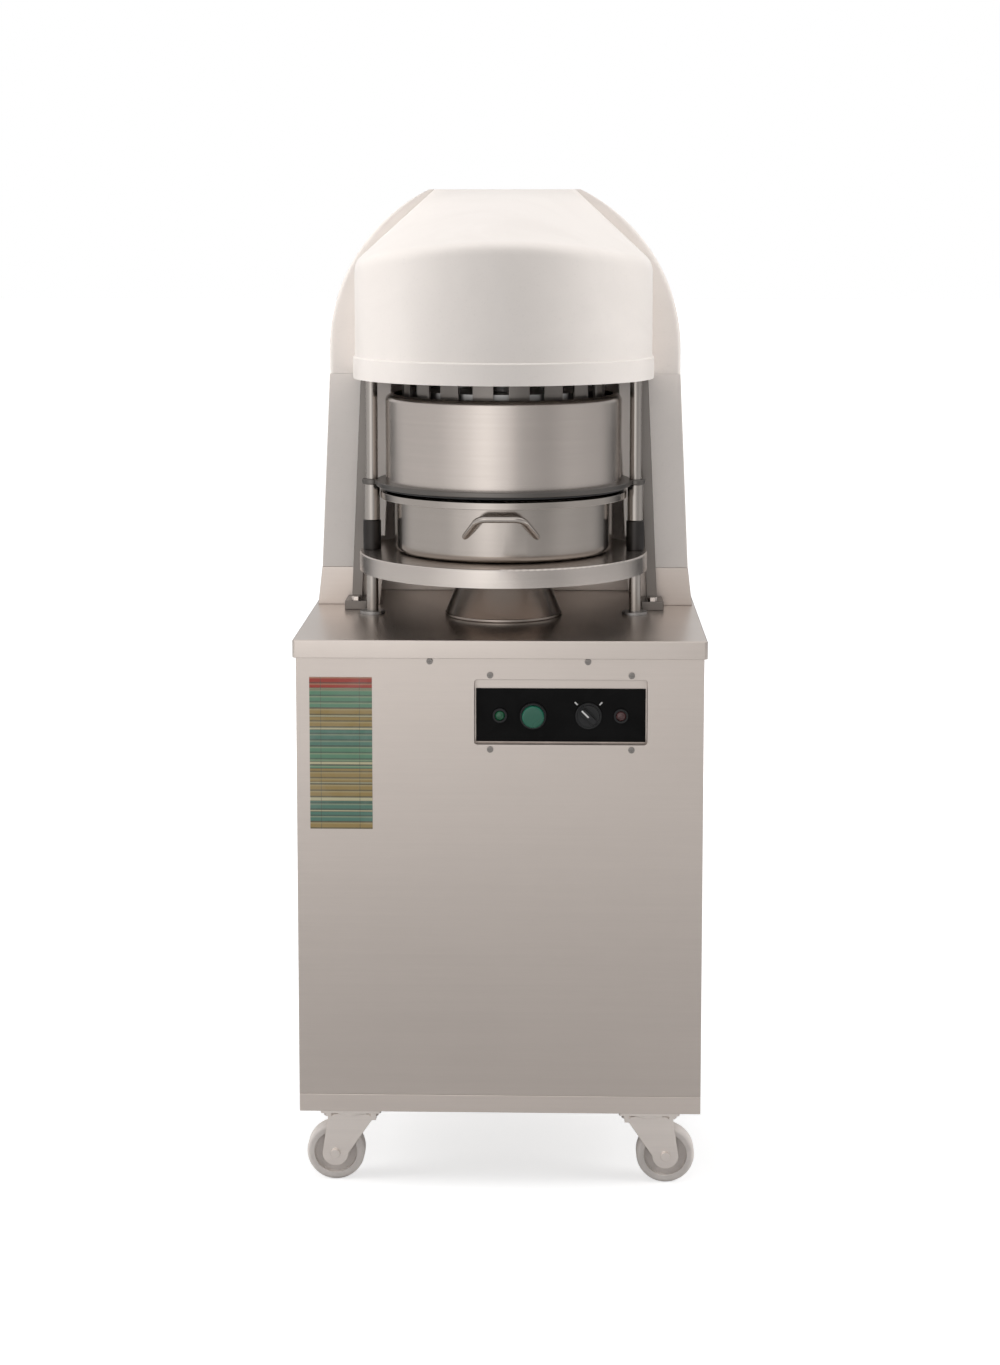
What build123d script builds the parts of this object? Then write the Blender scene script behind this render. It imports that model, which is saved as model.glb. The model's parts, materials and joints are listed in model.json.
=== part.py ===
from build123d import *
from math import acos, cos, pi, radians, sin, sqrt, tan
import os

# Electric dough divider: a knife basket under a hood, over a dough pan on a cabinet with casters.
# Millimetres. X points to the right, Y to the back and Z up. The floor is at Z = 0.

os.makedirs("parts", exist_ok=True)

# Clearances
run_fit = 0.05
pick_band = 0.01
seat_gap = 0.3
weld_gap = 0.1
knife_gap = 0.8

# Cabinet
worktop_width = 522.0
worktop_depth = 420.0
worktop_height = 718.0
worktop_sheet = 2.0
worktop_corner = 4.0
lip_height = 23.0
lip_overhang = 4.0
panel_sheet = 1.5
tray_height = 23.0
tray_sheet = 2.0
angle_leg = 30.0
angle_sheet = 3.0
rear_inset = 24.0
louvre_length = 90.0
louvre_height = 7.0
louvre_pitch = 20.0
louvre_rows = 6
louvre_column = 130.0
louvre_drop = 158.0

# Casters
wheel_radius = 37.5
wheel_width = 26.0
tyre_depth = 10.0
tyre_round = 5.0
web_width = 14.0
hub_radius = 14.0
axle_radius = 6.0
axle_head = 4.0
caster_height = 104.0
caster_plate_size = 78.0
caster_plate_sheet = 5.0
caster_bolt_spacing = 58.0
caster_side_inset = 65.0
caster_end_inset = 44.0
caster_trail = 22.0
fork_sheet = 3.0
fork_gap = 1.0
fork_top_width = 62.0
fork_foot_radius = 17.0
fork_crown = 8.0
raceway_radius = 24.0
raceway_height = 9.0
kingpin_radius = 7.0
kingpin_length = 14.0

# Control panel
control_x = 77.0
control_drop = 92.0
control_width = 218.0
control_height = 83.0
control_corner = 4.0
control_flange = 14.0
recess_depth = 10.0
plate_sheet = 2.0
plate_margin = 2.0
plate_top_strip = 13.0
device_drop = 6.0
green_lamp_x = 0.0
button_x = 42.0
selector_x = 112.0
red_lamp_x = 153.0
lamp_radius = 6.5
lamp_height = 6.0
lamp_foot = 0.6
bezel_rim = 2.5
lamp_bezel_height = 3.0
button_radius = 14.0
button_travel = 4.0
button_cap = 8.5
button_round = 2.5
stem_radius = 5.0
button_bezel_height = 6.0
selector_radius = 14.0
selector_disc = 4.0
selector_wing = 8.0
selector_wing_width = 9.0
selector_wing_inset = 1.5
selector_wing_round = 1.6
selector_rest_angle = 45.0
stem_length = 14.0
control_screw_inset = 20.0
control_screw_offset = 6.0
screw_radius = 4.0
screw_head = 2.2
lip_screw_half = 99.5
lip_screw_offset = 11.5
chart_inset = 56.5
chart_drop = 145.5
chart_width = 79.0
chart_height = 195.0
chart_sheet = 1.0

# Cable gland
gland_inset = 107.0
gland_rise = 86.0
gland_bore_radius = 5.0
gland_thread_radius = 9.0
gland_hex = 13.0
gland_hex_height = 7.0
gland_nut_height = 14.0
gland_nut_radius = 11.0
gland_lock = 6.0
gland_taper_angle = 8.0

# Table, pan and drum
pedestal_radius = 56.0
pedestal_flange_radius = 78.0
pedestal_flange_height = 5.0
pedestal_flare_height = 58.0
pedestal_height = 63.0
disc_radius = 192.0
disc_height = 24.0
disc_plate = 8.0
disc_rim = 5.0
disc_lug_radius = 15.0
rod_clearance = 1.0
pan_radius = 145.0
pan_rim_radius = 164.0
pan_height = 81.0
pan_wall = 2.5
pan_floor = 3.5
pan_round = 10.0
pan_rim_fold = 9.0
handle_half = 46.0
handle_grip_half = 28.0
handle_bend = 16.0
handle_rise = 27.0
handle_reach = 34.0
handle_root = 11.0
handle_foot_z = 34.0
handle_radius = 4.5
seal_gap = 4.0
seal_height = 3.0
flange_height = 7.0
flange_radius = 170.0
ear_radius = 13.0
drum_radius = 157.0
drum_wall = 3.0
drum_height = 115.0
drum_round = 9.0
drum_neck_gap = 11.0

# Pull rods and their guides
rod_x = 176.0
rod_radius = 8.0
rod_end = 18.0
rod_tail = 22.0
rod_chamfer = 1.0
housing_radius = 12.0
housing_height = 40.0
housing_round = 2.0
sleeve_radius = 10.5
bush_radius = 14.0
bush_flange = 17.0
bush_flange_height = 4.0
bush_length = 40.0
nut_size = 13.0
nut_height = 10.0

# Knife basket and press plate
blade_lift = 14.0
blade_height = 75.0
blade_sheet = 1.5
basket_radius = 134.5
basket_wall = 3.0
basket_rise = 41.0
basket_slot = 20.0
cutting_edge_height = 9.0
cutting_edge_land = 0.6
basket_slot_depth = 45.0
ring_counts = (6, 12, 18)
carrier_sheet = 8.0
column_radius = 9.0
column_circle_radius = 55.0
column_collar_radius = 13.0
column_collar_height = 14.0
press_sheet = 10.0
press_disc_radius = 126.0
segment_height = 12.0
segment_rod = 4.0
spring_radius = 28.0
spring_wire_width = 7.0
spring_wire_height = 5.0
spring_turns = 6
spring_seat = 1.3
crosshead_lift = 70.0
crosshead_height = 30.0
crosshead_hub_radius = 74.0
crosshead_end_radius = 16.0

# Drive
yoke_drop = 158.0
yoke_height = 28.0
yoke_depth = 36.0
gear_module = 3.0
pinion_teeth = 20
pressure_angle = 20.0
addendum_share = 0.8
dedendum_share = 1.25
tooth_backlash = 0.25
gear_width = 26.0
pinion_drop = 140.0
rack_back = 24.0
rack_length = 188.0
shaft_radius = 12.0
shaft_front = 6.0
shaft_back = 70.0
gearbox_front = 32.0
gearbox_depth = 90.0
gearbox_left = -92.0
gearbox_right = 32.0
gearbox_height = 120.0
gearbox_round = 10.0
gearbox_boss = 34.0
gearbox_boss_height = 6.0
motor_radius = 46.0
motor_length = 128.0
motor_fins = 16
motor_fin_height = 5.0
motor_fin_sheet = 3.0
motor_flange_radius = 54.0
motor_flange_sheet = 10.0
fan_cover_length = 30.0
terminal_box = (56.0, 50.0, 26.0)
rail_size = 30.0

# Posts, head plate, hood and rear cover
post_y = 50.0
post_foot_x = 201.0
post_lean = 0.045
post_size = 14.0
post_foot_width = 30.0
post_foot_depth = 44.0
post_foot_height = 12.0
post_bolt_offset = 15.0
head_plate_lift = 30.0
head_plate_sheet = 10.0
head_plate_depth = 60.0
hood_gap = 21.0
hood_height = 249.0
hood_wall = 3.0
hood_lip_height = 29.0
hood_lip_proud = 2.5
hood_front_half = 181.0
hood_corner_half = 170.0
hood_corner_height = 161.0
hood_corner_y = -125.0
hood_bow = 65.0
hood_bow_share = 0.66
hood_bow_sag = 14.0
hood_crest_half = 78.0
hood_crown_cut = 23.0
roof_edge_height = 178.0
roof_slope = 0.5
plinth_height = 52.0
cover_setback = 6.0
hood_side_room = 63.0
cover_front_y = 75.0
cover_wall = 3.0
cover_flange = 85.0
cover_disc_room = 8.0
plinth_sheet = 2.0
bolt_size = 6.5
bolt_head = 5.5

# Levels and faces worked out from the sizes above
half_width = worktop_width / 2 - lip_overhang
front_y = lip_overhang - worktop_depth / 2
back_y = -front_y
inner_half = half_width - panel_sheet
swivel_x = half_width - caster_side_inset
caster_y = back_y - caster_end_inset
tray_half = half_width - tray_sheet
front_inner = front_y + panel_sheet
rear_inner = back_y - rear_inset - panel_sheet
tray_floor = caster_height + tray_sheet
panel_bottom = caster_height + tray_height
gland_x = gland_inset - half_width
gland_z = caster_height + gland_rise
worktop_under = worktop_height - worktop_sheet
louvre_z = worktop_height - louvre_drop
control_z = worktop_height - control_drop
device_z = control_z - device_drop
chart_x = chart_inset - half_width
chart_z = worktop_height - chart_drop
plate_face = front_y + recess_depth
plate_back = plate_face + plate_sheet
disc_bottom = worktop_height + pedestal_height
disc_top = disc_bottom + disc_height
pan_rim_z = disc_top + pan_height
seal_z = pan_rim_z + seal_gap
flange_z = seal_z + seal_height
drum_z = flange_z + flange_height
drum_top = drum_z + drum_height
drum_inner = drum_radius - drum_wall
blade_bottom = drum_z + blade_lift
basket_top = drum_top + basket_rise
basket_slot_bottom = basket_top - basket_slot_depth
basket_inner = basket_radius - basket_wall
carrier_z = blade_bottom + blade_height
carrier_top = carrier_z + carrier_sheet
press_z = carrier_top + column_collar_height
press_top = press_z + press_sheet
crosshead_bottom = basket_top + crosshead_lift
crosshead_top = crosshead_bottom + crosshead_height
yoke_bottom = worktop_height - yoke_drop
rod_top = crosshead_top + rod_end
rod_bottom = yoke_bottom - rod_tail
pinion_radius = gear_module * pinion_teeth / 2
pinion_z = yoke_bottom - pinion_drop
rack_bottom = yoke_bottom - rack_length
gearbox_z = pinion_z - gearbox_height / 2
gearbox_y = gearbox_front + gearbox_depth / 2
head_plate_z = crosshead_top + head_plate_lift
hood_bottom = drum_top + hood_gap
hood_top = hood_bottom + hood_height
hood_corner_z = hood_bottom + hood_corner_height
hood_back_y = back_y
hood_back_half = rod_x + hood_side_room
hood_arch_z = hood_top + hood_crown_cut - hood_back_half
roof_edge_z = hood_bottom + roof_edge_height
cover_bottom = worktop_height + plinth_height
cover_bottom_half = half_width - cover_setback
BOTTOM = (Align.CENTER, Align.CENTER, Align.MIN)
TOP = (Align.CENTER, Align.CENTER, Align.MAX)
BOTH_SIDES = (-1, 1)


def keep(piece, name):
    """Label a finished piece and write it to its own file."""
    piece.part.label = name
    export_step(piece.part, f"parts/{name}.step")


def slab(low, high, mode=Mode.ADD):
    """Add or cut the block between two opposite corners."""
    low = Vector(*low)
    high = Vector(*high)
    size = high - low
    with Locations((low + high) / 2):
        Box(abs(size.X), abs(size.Y), abs(size.Z), mode=mode)


def turned(*points):
    """Solid of revolution about Z from an outline of (radius, height) points."""
    with BuildPart() as solid:
        with BuildSketch(Plane.XZ):
            Polygon(*points, align=None)
        revolve(axis=Axis.Z)
    return solid.part


# Base tray with its turned-up edge, and the corner angles that stand in it
with BuildPart() as base_tray:
    slab((-half_width, front_y, caster_height), (half_width, back_y, panel_bottom))
    slab(
        (-tray_half, front_y + tray_sheet, tray_floor),
        (tray_half, back_y - tray_sheet, panel_bottom),
        mode=Mode.SUBTRACT,
    )
keep(base_tray, "base_tray")

with BuildPart() as corner_angles:
    for side in BOTH_SIDES:
        outer = side * tray_half
        for corner_y, inward in ((front_y + tray_sheet, 1), (rear_inner, -1)):
            slab(
                (outer, corner_y, tray_floor),
                (outer - side * angle_sheet, corner_y + inward * angle_leg, worktop_under),
            )
            slab(
                (outer, corner_y, tray_floor),
                (outer - side * angle_leg, corner_y + inward * angle_sheet, worktop_under),
            )
keep(corner_angles, "corner_angles")

# Front panel with the window of the control panel
with BuildPart() as front_panel:
    with BuildSketch(Plane.XZ.offset(-front_y)):
        with Locations((0, (panel_bottom + worktop_under) / 2)):
            Rectangle(2 * half_width, worktop_under - panel_bottom)
        with Locations((control_x, control_z)):
            RectangleRounded(control_width, control_height, control_corner, mode=Mode.SUBTRACT)
    extrude(amount=-panel_sheet)
keep(front_panel, "front_panel")

# Side panels, folded in at the back
for name, side in (("left_side_panel", -1), ("right_side_panel", 1)):
    with BuildPart() as side_panel:
        slab((side * inner_half, front_inner, panel_bottom), (side * half_width, back_y, worktop_under))
        slab(
            (side * (half_width - angle_leg), back_y - panel_sheet, panel_bottom),
            (side * inner_half, back_y, worktop_under),
        )
    keep(side_panel, name)

# Rear panel between the side panels, with vents and the hole of the cable gland
with BuildPart() as rear_panel:
    with BuildSketch(Plane.XZ.offset(-rear_inner)):
        with Locations((0, (tray_floor + worktop_under) / 2)):
            Rectangle(2 * tray_half, worktop_under - tray_floor)
        with Locations((0, louvre_z)):
            with GridLocations(louvre_column, louvre_pitch, 2, louvre_rows):
                SlotOverall(louvre_length, louvre_height, mode=Mode.SUBTRACT)
        with Locations((gland_x, gland_z)):
            Circle(gland_thread_radius + weld_gap, mode=Mode.SUBTRACT)
    extrude(amount=-panel_sheet)
keep(rear_panel, "rear_panel")

# Worktop with its folded lip and the holes of the rod bushes
with BuildPart() as worktop:
    slab(
        (-worktop_width / 2, -worktop_depth / 2, worktop_height - lip_height),
        (worktop_width / 2, worktop_depth / 2, worktop_height),
    )
    fillet(worktop.edges().filter_by(Axis.Z), worktop_corner)
    fillet(worktop.faces().sort_by(Axis.Z)[-1].edges(), worktop_sheet)
    slab(
        (worktop_sheet - worktop_width / 2, worktop_sheet - worktop_depth / 2, worktop_height - lip_height),
        (worktop_width / 2 - worktop_sheet, worktop_depth / 2 - worktop_sheet, worktop_under),
        mode=Mode.SUBTRACT,
    )
    with Locations((-rod_x, 0, worktop_height), (rod_x, 0, worktop_height)):
        Hole(bush_radius + weld_gap)
keep(worktop, "worktop")

with BuildPart() as worktop_bushes:
    with Locations((-rod_x, 0, worktop_height), (rod_x, 0, worktop_height)):
        Cylinder(bush_flange, bush_flange_height, align=BOTTOM)
        Cylinder(bush_radius, bush_length, align=TOP)
        Cylinder(rod_radius + run_fit, 2 * bush_length, mode=Mode.SUBTRACT)
keep(worktop_bushes, "worktop_bushes")

# Casters: wheel, swivelling or fixed fork, and the plates bolted under the tray
caster_plate_z = caster_height - caster_plate_sheet
fork_inner = wheel_width / 2 + fork_gap
fork_top = caster_plate_z - seat_gap - raceway_height

with BuildPart() as wheel:
    with BuildSketch(Plane.XY):
        Rectangle(wheel_radius, wheel_width, align=(Align.MIN, Align.CENTER))
        for side in BOTH_SIDES:
            with Locations((hub_radius, side * wheel_width / 2)):
                Rectangle(
                    wheel_radius - tyre_depth - hub_radius,
                    wheel_width - web_width,
                    align=(Align.MIN, Align.CENTER),
                    mode=Mode.SUBTRACT,
                )
        Rectangle(axle_radius + run_fit, wheel_width, align=(Align.MIN, Align.CENTER), mode=Mode.SUBTRACT)
    revolve(axis=Axis.Y)
    rim = wheel.edges().filter_by(GeomType.CIRCLE).sort_by(SortBy.RADIUS)[-2:]
    fillet(rim, tyre_round)


def caster_fork(trail):
    """Fork with its axle along Y, under a vertical axis at the origin, with the wheel set off along X."""
    with BuildPart() as fork:
        with BuildSketch(Plane.XZ.offset(fork_inner)):
            with BuildLine():
                Polyline(
                    (-fork_top_width / 2, fork_top),
                    (fork_top_width / 2, fork_top),
                    (trail + fork_foot_radius, wheel_radius),
                    (trail - fork_foot_radius, wheel_radius),
                    close=True,
                )
            make_face()
            with Locations((trail, wheel_radius)):
                Circle(fork_foot_radius)
        extrude(amount=fork_sheet)
        mirror(about=Plane.XZ)
        slab(
            (-fork_top_width / 2, -fork_inner - fork_sheet, fork_top - fork_crown),
            (fork_top_width / 2, fork_inner + fork_sheet, fork_top),
        )
        with Locations((0, 0, fork_top)):
            Cylinder(raceway_radius, raceway_height, align=BOTTOM)
        with Locations(Location((trail, 0, wheel_radius), (90, 0, 0))):
            Cylinder(axle_radius, 2 * (fork_inner + fork_sheet + axle_head))
    return fork


def caster_plate(pin_radius):
    """Mounting plate with its kingpin, on a vertical axis at the origin."""
    with BuildPart() as plate:
        with Locations((0, 0, caster_plate_z)):
            Box(caster_plate_size, caster_plate_size, caster_plate_sheet, align=BOTTOM)
        fillet(plate.edges().filter_by(Axis.Z), worktop_corner)
        with Locations((0, 0, caster_plate_z)):
            Cylinder(pin_radius, kingpin_length, align=TOP)
    return plate


swivel_fork = caster_fork(caster_trail)
with BuildPart() as bored_fork:
    add(swivel_fork.part)
    with Locations((0, 0, caster_plate_z)):
        Cylinder(kingpin_radius + run_fit, kingpin_length + seat_gap, align=TOP, mode=Mode.SUBTRACT)

front_casters = (("left", -1, 180), ("right", 1, 0))
for name, side, turn in front_casters:
    swivel = Location((side * swivel_x, -caster_y, 0), (0, 0, turn))
    with BuildPart() as front_fork:
        with Locations(swivel):
            add(bored_fork.part)
    keep(front_fork, f"front_{name}_fork")
    with BuildPart() as front_wheel:
        with Locations((side * (swivel_x + caster_trail), -caster_y, wheel_radius)):
            add(wheel.part)
    keep(front_wheel, f"front_{name}_wheel")
    with BuildPart() as rear_wheel:
        with Locations(Location((side * swivel_x, caster_y, wheel_radius), (0, 0, 90))):
            add(wheel.part)
    keep(rear_wheel, f"rear_{name}_wheel")

# The rear forks are welded to their plates, so their raceway reaches the plate
fixed_fork = caster_fork(0)
with BuildPart() as rear_forks:
    for side in BOTH_SIDES:
        with Locations(Location((side * swivel_x, caster_y, 0), (0, 0, 90))):
            add(fixed_fork.part)
        with Locations((side * swivel_x, caster_y, caster_plate_z - seat_gap)):
            Cylinder(raceway_radius, seat_gap, align=BOTTOM)
keep(rear_forks, "rear_forks")

front_plate = caster_plate(kingpin_radius)
with BuildPart() as caster_plates:
    for side in BOTH_SIDES:
        with Locations((side * swivel_x, -caster_y, 0)):
            add(front_plate.part)
        with Locations((side * swivel_x, caster_y, caster_plate_z)):
            Box(caster_plate_size, caster_plate_size, caster_plate_sheet, align=BOTTOM)
keep(caster_plates, "caster_plates")

with BuildPart() as caster_bolts:
    with BuildSketch(Plane.XY.offset(caster_plate_z)):
        with GridLocations(2 * swivel_x, 2 * caster_y, 2, 2):
            with GridLocations(caster_bolt_spacing, caster_bolt_spacing, 2, 2):
                RegularPolygon(bolt_size, 6)
    extrude(amount=-bolt_head)
keep(caster_bolts, "caster_bolts")

# Control panel: a box behind the window, with the black plate near its back
control_left = control_x - control_width / 2
control_right = control_x + control_width / 2
control_low = control_z - control_height / 2
control_high = control_z + control_height / 2
box_back = plate_back + panel_sheet
control_front = Plane.XZ.offset(-plate_face)
stems = ((button_x, device_z), (selector_x, device_z))

with BuildPart() as control_box:
    slab(
        (control_left - control_flange, front_inner, control_low - control_flange),
        (control_right + control_flange, front_inner + panel_sheet, control_high + control_flange),
    )
    slab(
        (control_left - panel_sheet, front_inner, control_low - panel_sheet),
        (control_right + panel_sheet, box_back, control_high + panel_sheet),
    )
    slab(
        (control_left, front_inner, control_low),
        (control_right, plate_back, control_high),
        mode=Mode.SUBTRACT,
    )
    with BuildSketch(Plane.XZ.offset(-box_back)):
        with Locations(*stems):
            Circle(stem_radius + seat_gap)
    extrude(amount=panel_sheet, mode=Mode.SUBTRACT)
keep(control_box, "control_box")

with BuildPart() as control_plate:
    slab(
        (control_left + plate_margin, plate_face, control_low + plate_margin),
        (control_right - plate_margin, plate_back, control_high - plate_top_strip),
    )
    with BuildSketch(control_front):
        with Locations(*stems):
            Circle(stem_radius + run_fit)
    extrude(amount=-plate_sheet, mode=Mode.SUBTRACT)
keep(control_plate, "control_plate")

with BuildPart() as control_bezels:
    with BuildSketch(control_front):
        with Locations((green_lamp_x, device_z), (red_lamp_x, device_z)):
            Circle(lamp_radius + bezel_rim)
            Circle(lamp_radius + weld_gap, mode=Mode.SUBTRACT)
    extrude(amount=lamp_bezel_height)
    with BuildSketch(control_front):
        with Locations((button_x, device_z)):
            Circle(button_radius + bezel_rim)
            Circle(button_radius + seat_gap, mode=Mode.SUBTRACT)
    extrude(amount=button_bezel_height)
    with BuildSketch(control_front):
        with Locations((selector_x, device_z)):
            Circle(selector_radius + bezel_rim)
            Circle(selector_radius + seat_gap, mode=Mode.SUBTRACT)
    extrude(amount=lamp_bezel_height)
keep(control_bezels, "control_bezels")

for name, lamp_x in (("green_lens", green_lamp_x), ("red_lens", red_lamp_x)):
    with BuildPart() as lens:
        with BuildSketch(control_front):
            with Locations((lamp_x, device_z)):
                Circle(lamp_radius)
        extrude(amount=lamp_height)
        fillet(lens.faces().sort_by(Axis.Y)[0].edges(), lamp_height - lamp_foot)
    keep(lens, name)

with BuildPart() as start_button:
    with BuildSketch(Plane.XZ.offset(button_travel + seat_gap - plate_face)):
        with Locations((button_x, device_z)):
            Circle(button_radius)
    extrude(amount=button_cap)
    fillet(start_button.faces().sort_by(Axis.Y)[0].edges(), button_round)
    with BuildSketch(Plane.XZ.offset(button_travel + seat_gap - plate_face)):
        with Locations((button_x, device_z)):
            Circle(stem_radius)
    extrude(amount=-stem_length)
keep(start_button, "start_button")

with BuildPart() as selector_knob:
    with BuildSketch(Plane.XZ.offset(seat_gap - plate_face)):
        with Locations((selector_x, device_z)):
            Circle(selector_radius)
    extrude(amount=selector_disc)
    with BuildSketch(Plane.XZ.offset(seat_gap + selector_disc - plate_face)):
        with Locations(Location((selector_x, device_z), selector_rest_angle)):
            SlotOverall(2 * (selector_radius - selector_wing_inset), selector_wing_width, rotation=90)
    extrude(amount=selector_wing)
    fillet(selector_knob.faces().sort_by(Axis.Y)[0].edges(), selector_wing_round)
    with BuildSketch(Plane.XZ.offset(seat_gap - plate_face)):
        with Locations((selector_x, device_z)):
            Circle(stem_radius)
    extrude(amount=-stem_length)
keep(selector_knob, "selector_knob")

with BuildPart() as panel_screws:
    with BuildSketch(Plane.XZ.offset(-front_y)):
        with Locations((control_x, control_z)):
            with GridLocations(
                control_width - 2 * control_screw_inset, control_height + 2 * control_screw_offset, 2, 2
            ):
                Circle(screw_radius)
    extrude(amount=screw_head)
    with BuildSketch(Plane.XZ.offset(-front_y)):
        with Locations((lip_screw_offset, worktop_height - lip_height - screw_radius)):
            with GridLocations(2 * lip_screw_half, 0, 2, 1):
                Circle(screw_radius)
    extrude(amount=screw_head)
keep(panel_screws, "panel_screws")

with BuildPart() as band_chart:
    slab(
        (chart_x - chart_width / 2, front_y - chart_sheet, chart_z - chart_height / 2),
        (chart_x + chart_width / 2, front_y, chart_z + chart_height / 2),
    )
keep(band_chart, "band_chart")

# Cable gland in the rear panel, with its lock nut inside
with BuildPart() as cable_gland:
    rear_face = Plane.XZ.offset(-rear_inner - panel_sheet)
    with BuildSketch(rear_face):
        with Locations((gland_x, gland_z)):
            RegularPolygon(gland_hex, 6)
    extrude(amount=-gland_hex_height)
    with BuildSketch(rear_face.offset(-gland_hex_height)):
        with Locations((gland_x, gland_z)):
            Circle(gland_nut_radius)
    extrude(amount=-gland_nut_height, taper=gland_taper_angle)
    with BuildSketch(rear_face):
        with Locations((gland_x, gland_z)):
            Circle(gland_thread_radius)
    extrude(amount=panel_sheet)
    with BuildSketch(rear_face.offset(panel_sheet)):
        with Locations((gland_x, gland_z)):
            RegularPolygon(gland_hex, 6)
    extrude(amount=gland_lock)
    with BuildSketch(rear_face.offset(-gland_hex_height - gland_nut_height)):
        with Locations((gland_x, gland_z)):
            Circle(gland_bore_radius)
    extrude(
        amount=gland_hex_height + gland_nut_height + panel_sheet + gland_lock,
        mode=Mode.SUBTRACT,
    )
keep(cable_gland, "cable_gland")

# Pedestal and the table disc that it carries
rod_places = ((-rod_x, 0), (rod_x, 0))

with BuildPart() as pedestal:
    add(
        turned(
            (0, worktop_height),
            (pedestal_flange_radius, worktop_height),
            (pedestal_flange_radius, worktop_height + pedestal_flange_height),
            (pedestal_radius, worktop_height + pedestal_flare_height),
            (pedestal_radius, disc_bottom),
            (0, disc_bottom),
        )
    )
keep(pedestal, "pedestal")

with BuildPart() as table_disc:
    add(
        turned(
            (0, disc_bottom),
            (pedestal_radius, disc_bottom),
            (pedestal_radius, disc_top - disc_plate),
            (disc_radius - disc_rim, disc_top - disc_plate),
            (disc_radius - disc_rim, disc_bottom),
            (disc_radius, disc_bottom),
            (disc_radius, disc_top),
            (0, disc_top),
        )
    )
    fillet(table_disc.faces().sort_by(Axis.Z)[-1].edges(), disc_rim / 2)
    with BuildSketch(Plane.XY.offset(disc_bottom)):
        Circle(disc_radius)
        with BuildSketch(mode=Mode.INTERSECT):
            with Locations(*rod_places):
                Circle(disc_lug_radius)
    extrude(amount=disc_top - disc_bottom - disc_plate)
    with Locations((-rod_x, 0, disc_top), (rod_x, 0, disc_top)):
        Hole(rod_radius + rod_clearance)
keep(table_disc, "table_disc")

with BuildPart() as post_bolts:
    with BuildSketch(Plane.XY.offset(worktop_height + post_foot_height)):
        with Locations((0, post_y)):
            with GridLocations(2 * post_foot_x, 2 * post_bolt_offset, 2, 2):
                RegularPolygon(bolt_size, 6)
    extrude(amount=bolt_head)
keep(post_bolts, "post_bolts")

# Guides of the pull rods above the disc
with BuildPart() as rod_housings:
    with BuildSketch(Plane.XY.offset(disc_top)):
        with Locations(*rod_places):
            Circle(housing_radius)
    extrude(amount=housing_height)
    fillet(rod_housings.faces().filter_by(Axis.Z).sort_by(Axis.Z)[-2:].edges(), housing_round)
    with Locations((-rod_x, 0, disc_top), (rod_x, 0, disc_top)):
        Cylinder(rod_radius + run_fit, 2 * housing_height, mode=Mode.SUBTRACT)
keep(rod_housings, "rod_housings")

with BuildPart() as rod_sleeves:
    with BuildSketch(Plane.XY.offset(disc_top + housing_height)):
        with Locations(*rod_places):
            Circle(sleeve_radius)
            Circle(rod_radius + seat_gap, mode=Mode.SUBTRACT)
    extrude(amount=flange_z - disc_top - housing_height)
keep(rod_sleeves, "rod_sleeves")

# Dough pan with its folded rim and arched handle
with BuildPart() as pan:
    add(
        turned(
            (0, disc_top),
            (pan_radius, disc_top),
            (pan_radius, pan_rim_z - pan_wall),
            (pan_rim_radius - pan_wall, pan_rim_z - pan_wall),
            (pan_rim_radius - pan_wall, pan_rim_z - pan_rim_fold),
            (pan_rim_radius, pan_rim_z - pan_rim_fold),
            (pan_rim_radius, pan_rim_z),
            (pan_radius - pan_wall, pan_rim_z),
            (pan_radius - pan_wall, disc_top + pan_floor),
            (0, disc_top + pan_floor),
        )
    )
    corners = pan.edges().filter_by(GeomType.CIRCLE).group_by(Axis.Z)
    fillet(corners[0], pan_round)
    inner_corner = pan.edges().filter_by(GeomType.CIRCLE).filter_by_position(
        Axis.Z, disc_top + pan_floor - pick_band, disc_top + pan_floor + pick_band
    )
    fillet(inner_corner, pan_round - pan_wall)
keep(pan, "pan")

with BuildPart() as pan_handle:
    foot_y = handle_root - pan_radius
    foot_z = disc_top + handle_foot_z
    grip_y = foot_y - handle_reach
    grip_z = foot_z + handle_rise
    with BuildLine():
        bail = FilletPolyline(
            (-handle_half, foot_y, foot_z),
            (-handle_grip_half, grip_y, grip_z),
            (handle_grip_half, grip_y, grip_z),
            (handle_half, foot_y, foot_z),
            radius=handle_bend,
        )
    with BuildSketch(Plane(origin=bail @ 0, z_dir=bail % 0)):
        Circle(handle_radius)
    sweep()
    with Locations((0, 0, disc_top)):
        Cylinder(pan_radius, pan_height, align=BOTTOM, mode=Mode.SUBTRACT)
keep(pan_handle, "pan_handle")

# Drum over the pan: seal, flange with an ear round each rod, and shell
with BuildPart() as drum_seal:
    with BuildSketch(Plane.XY.offset(seal_z)):
        Circle(pan_rim_radius)
        Circle(drum_inner, mode=Mode.SUBTRACT)
    extrude(amount=seal_height)
keep(drum_seal, "drum_seal")

with BuildPart() as drum_flange:
    with BuildSketch(Plane.XY.offset(flange_z)):
        Circle(flange_radius)
        with Locations(*rod_places):
            Circle(ear_radius)
        with Locations(*rod_places):
            Circle(rod_radius + seat_gap, mode=Mode.SUBTRACT)
        Circle(drum_inner, mode=Mode.SUBTRACT)
    extrude(amount=flange_height)
keep(drum_flange, "drum_flange")

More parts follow.
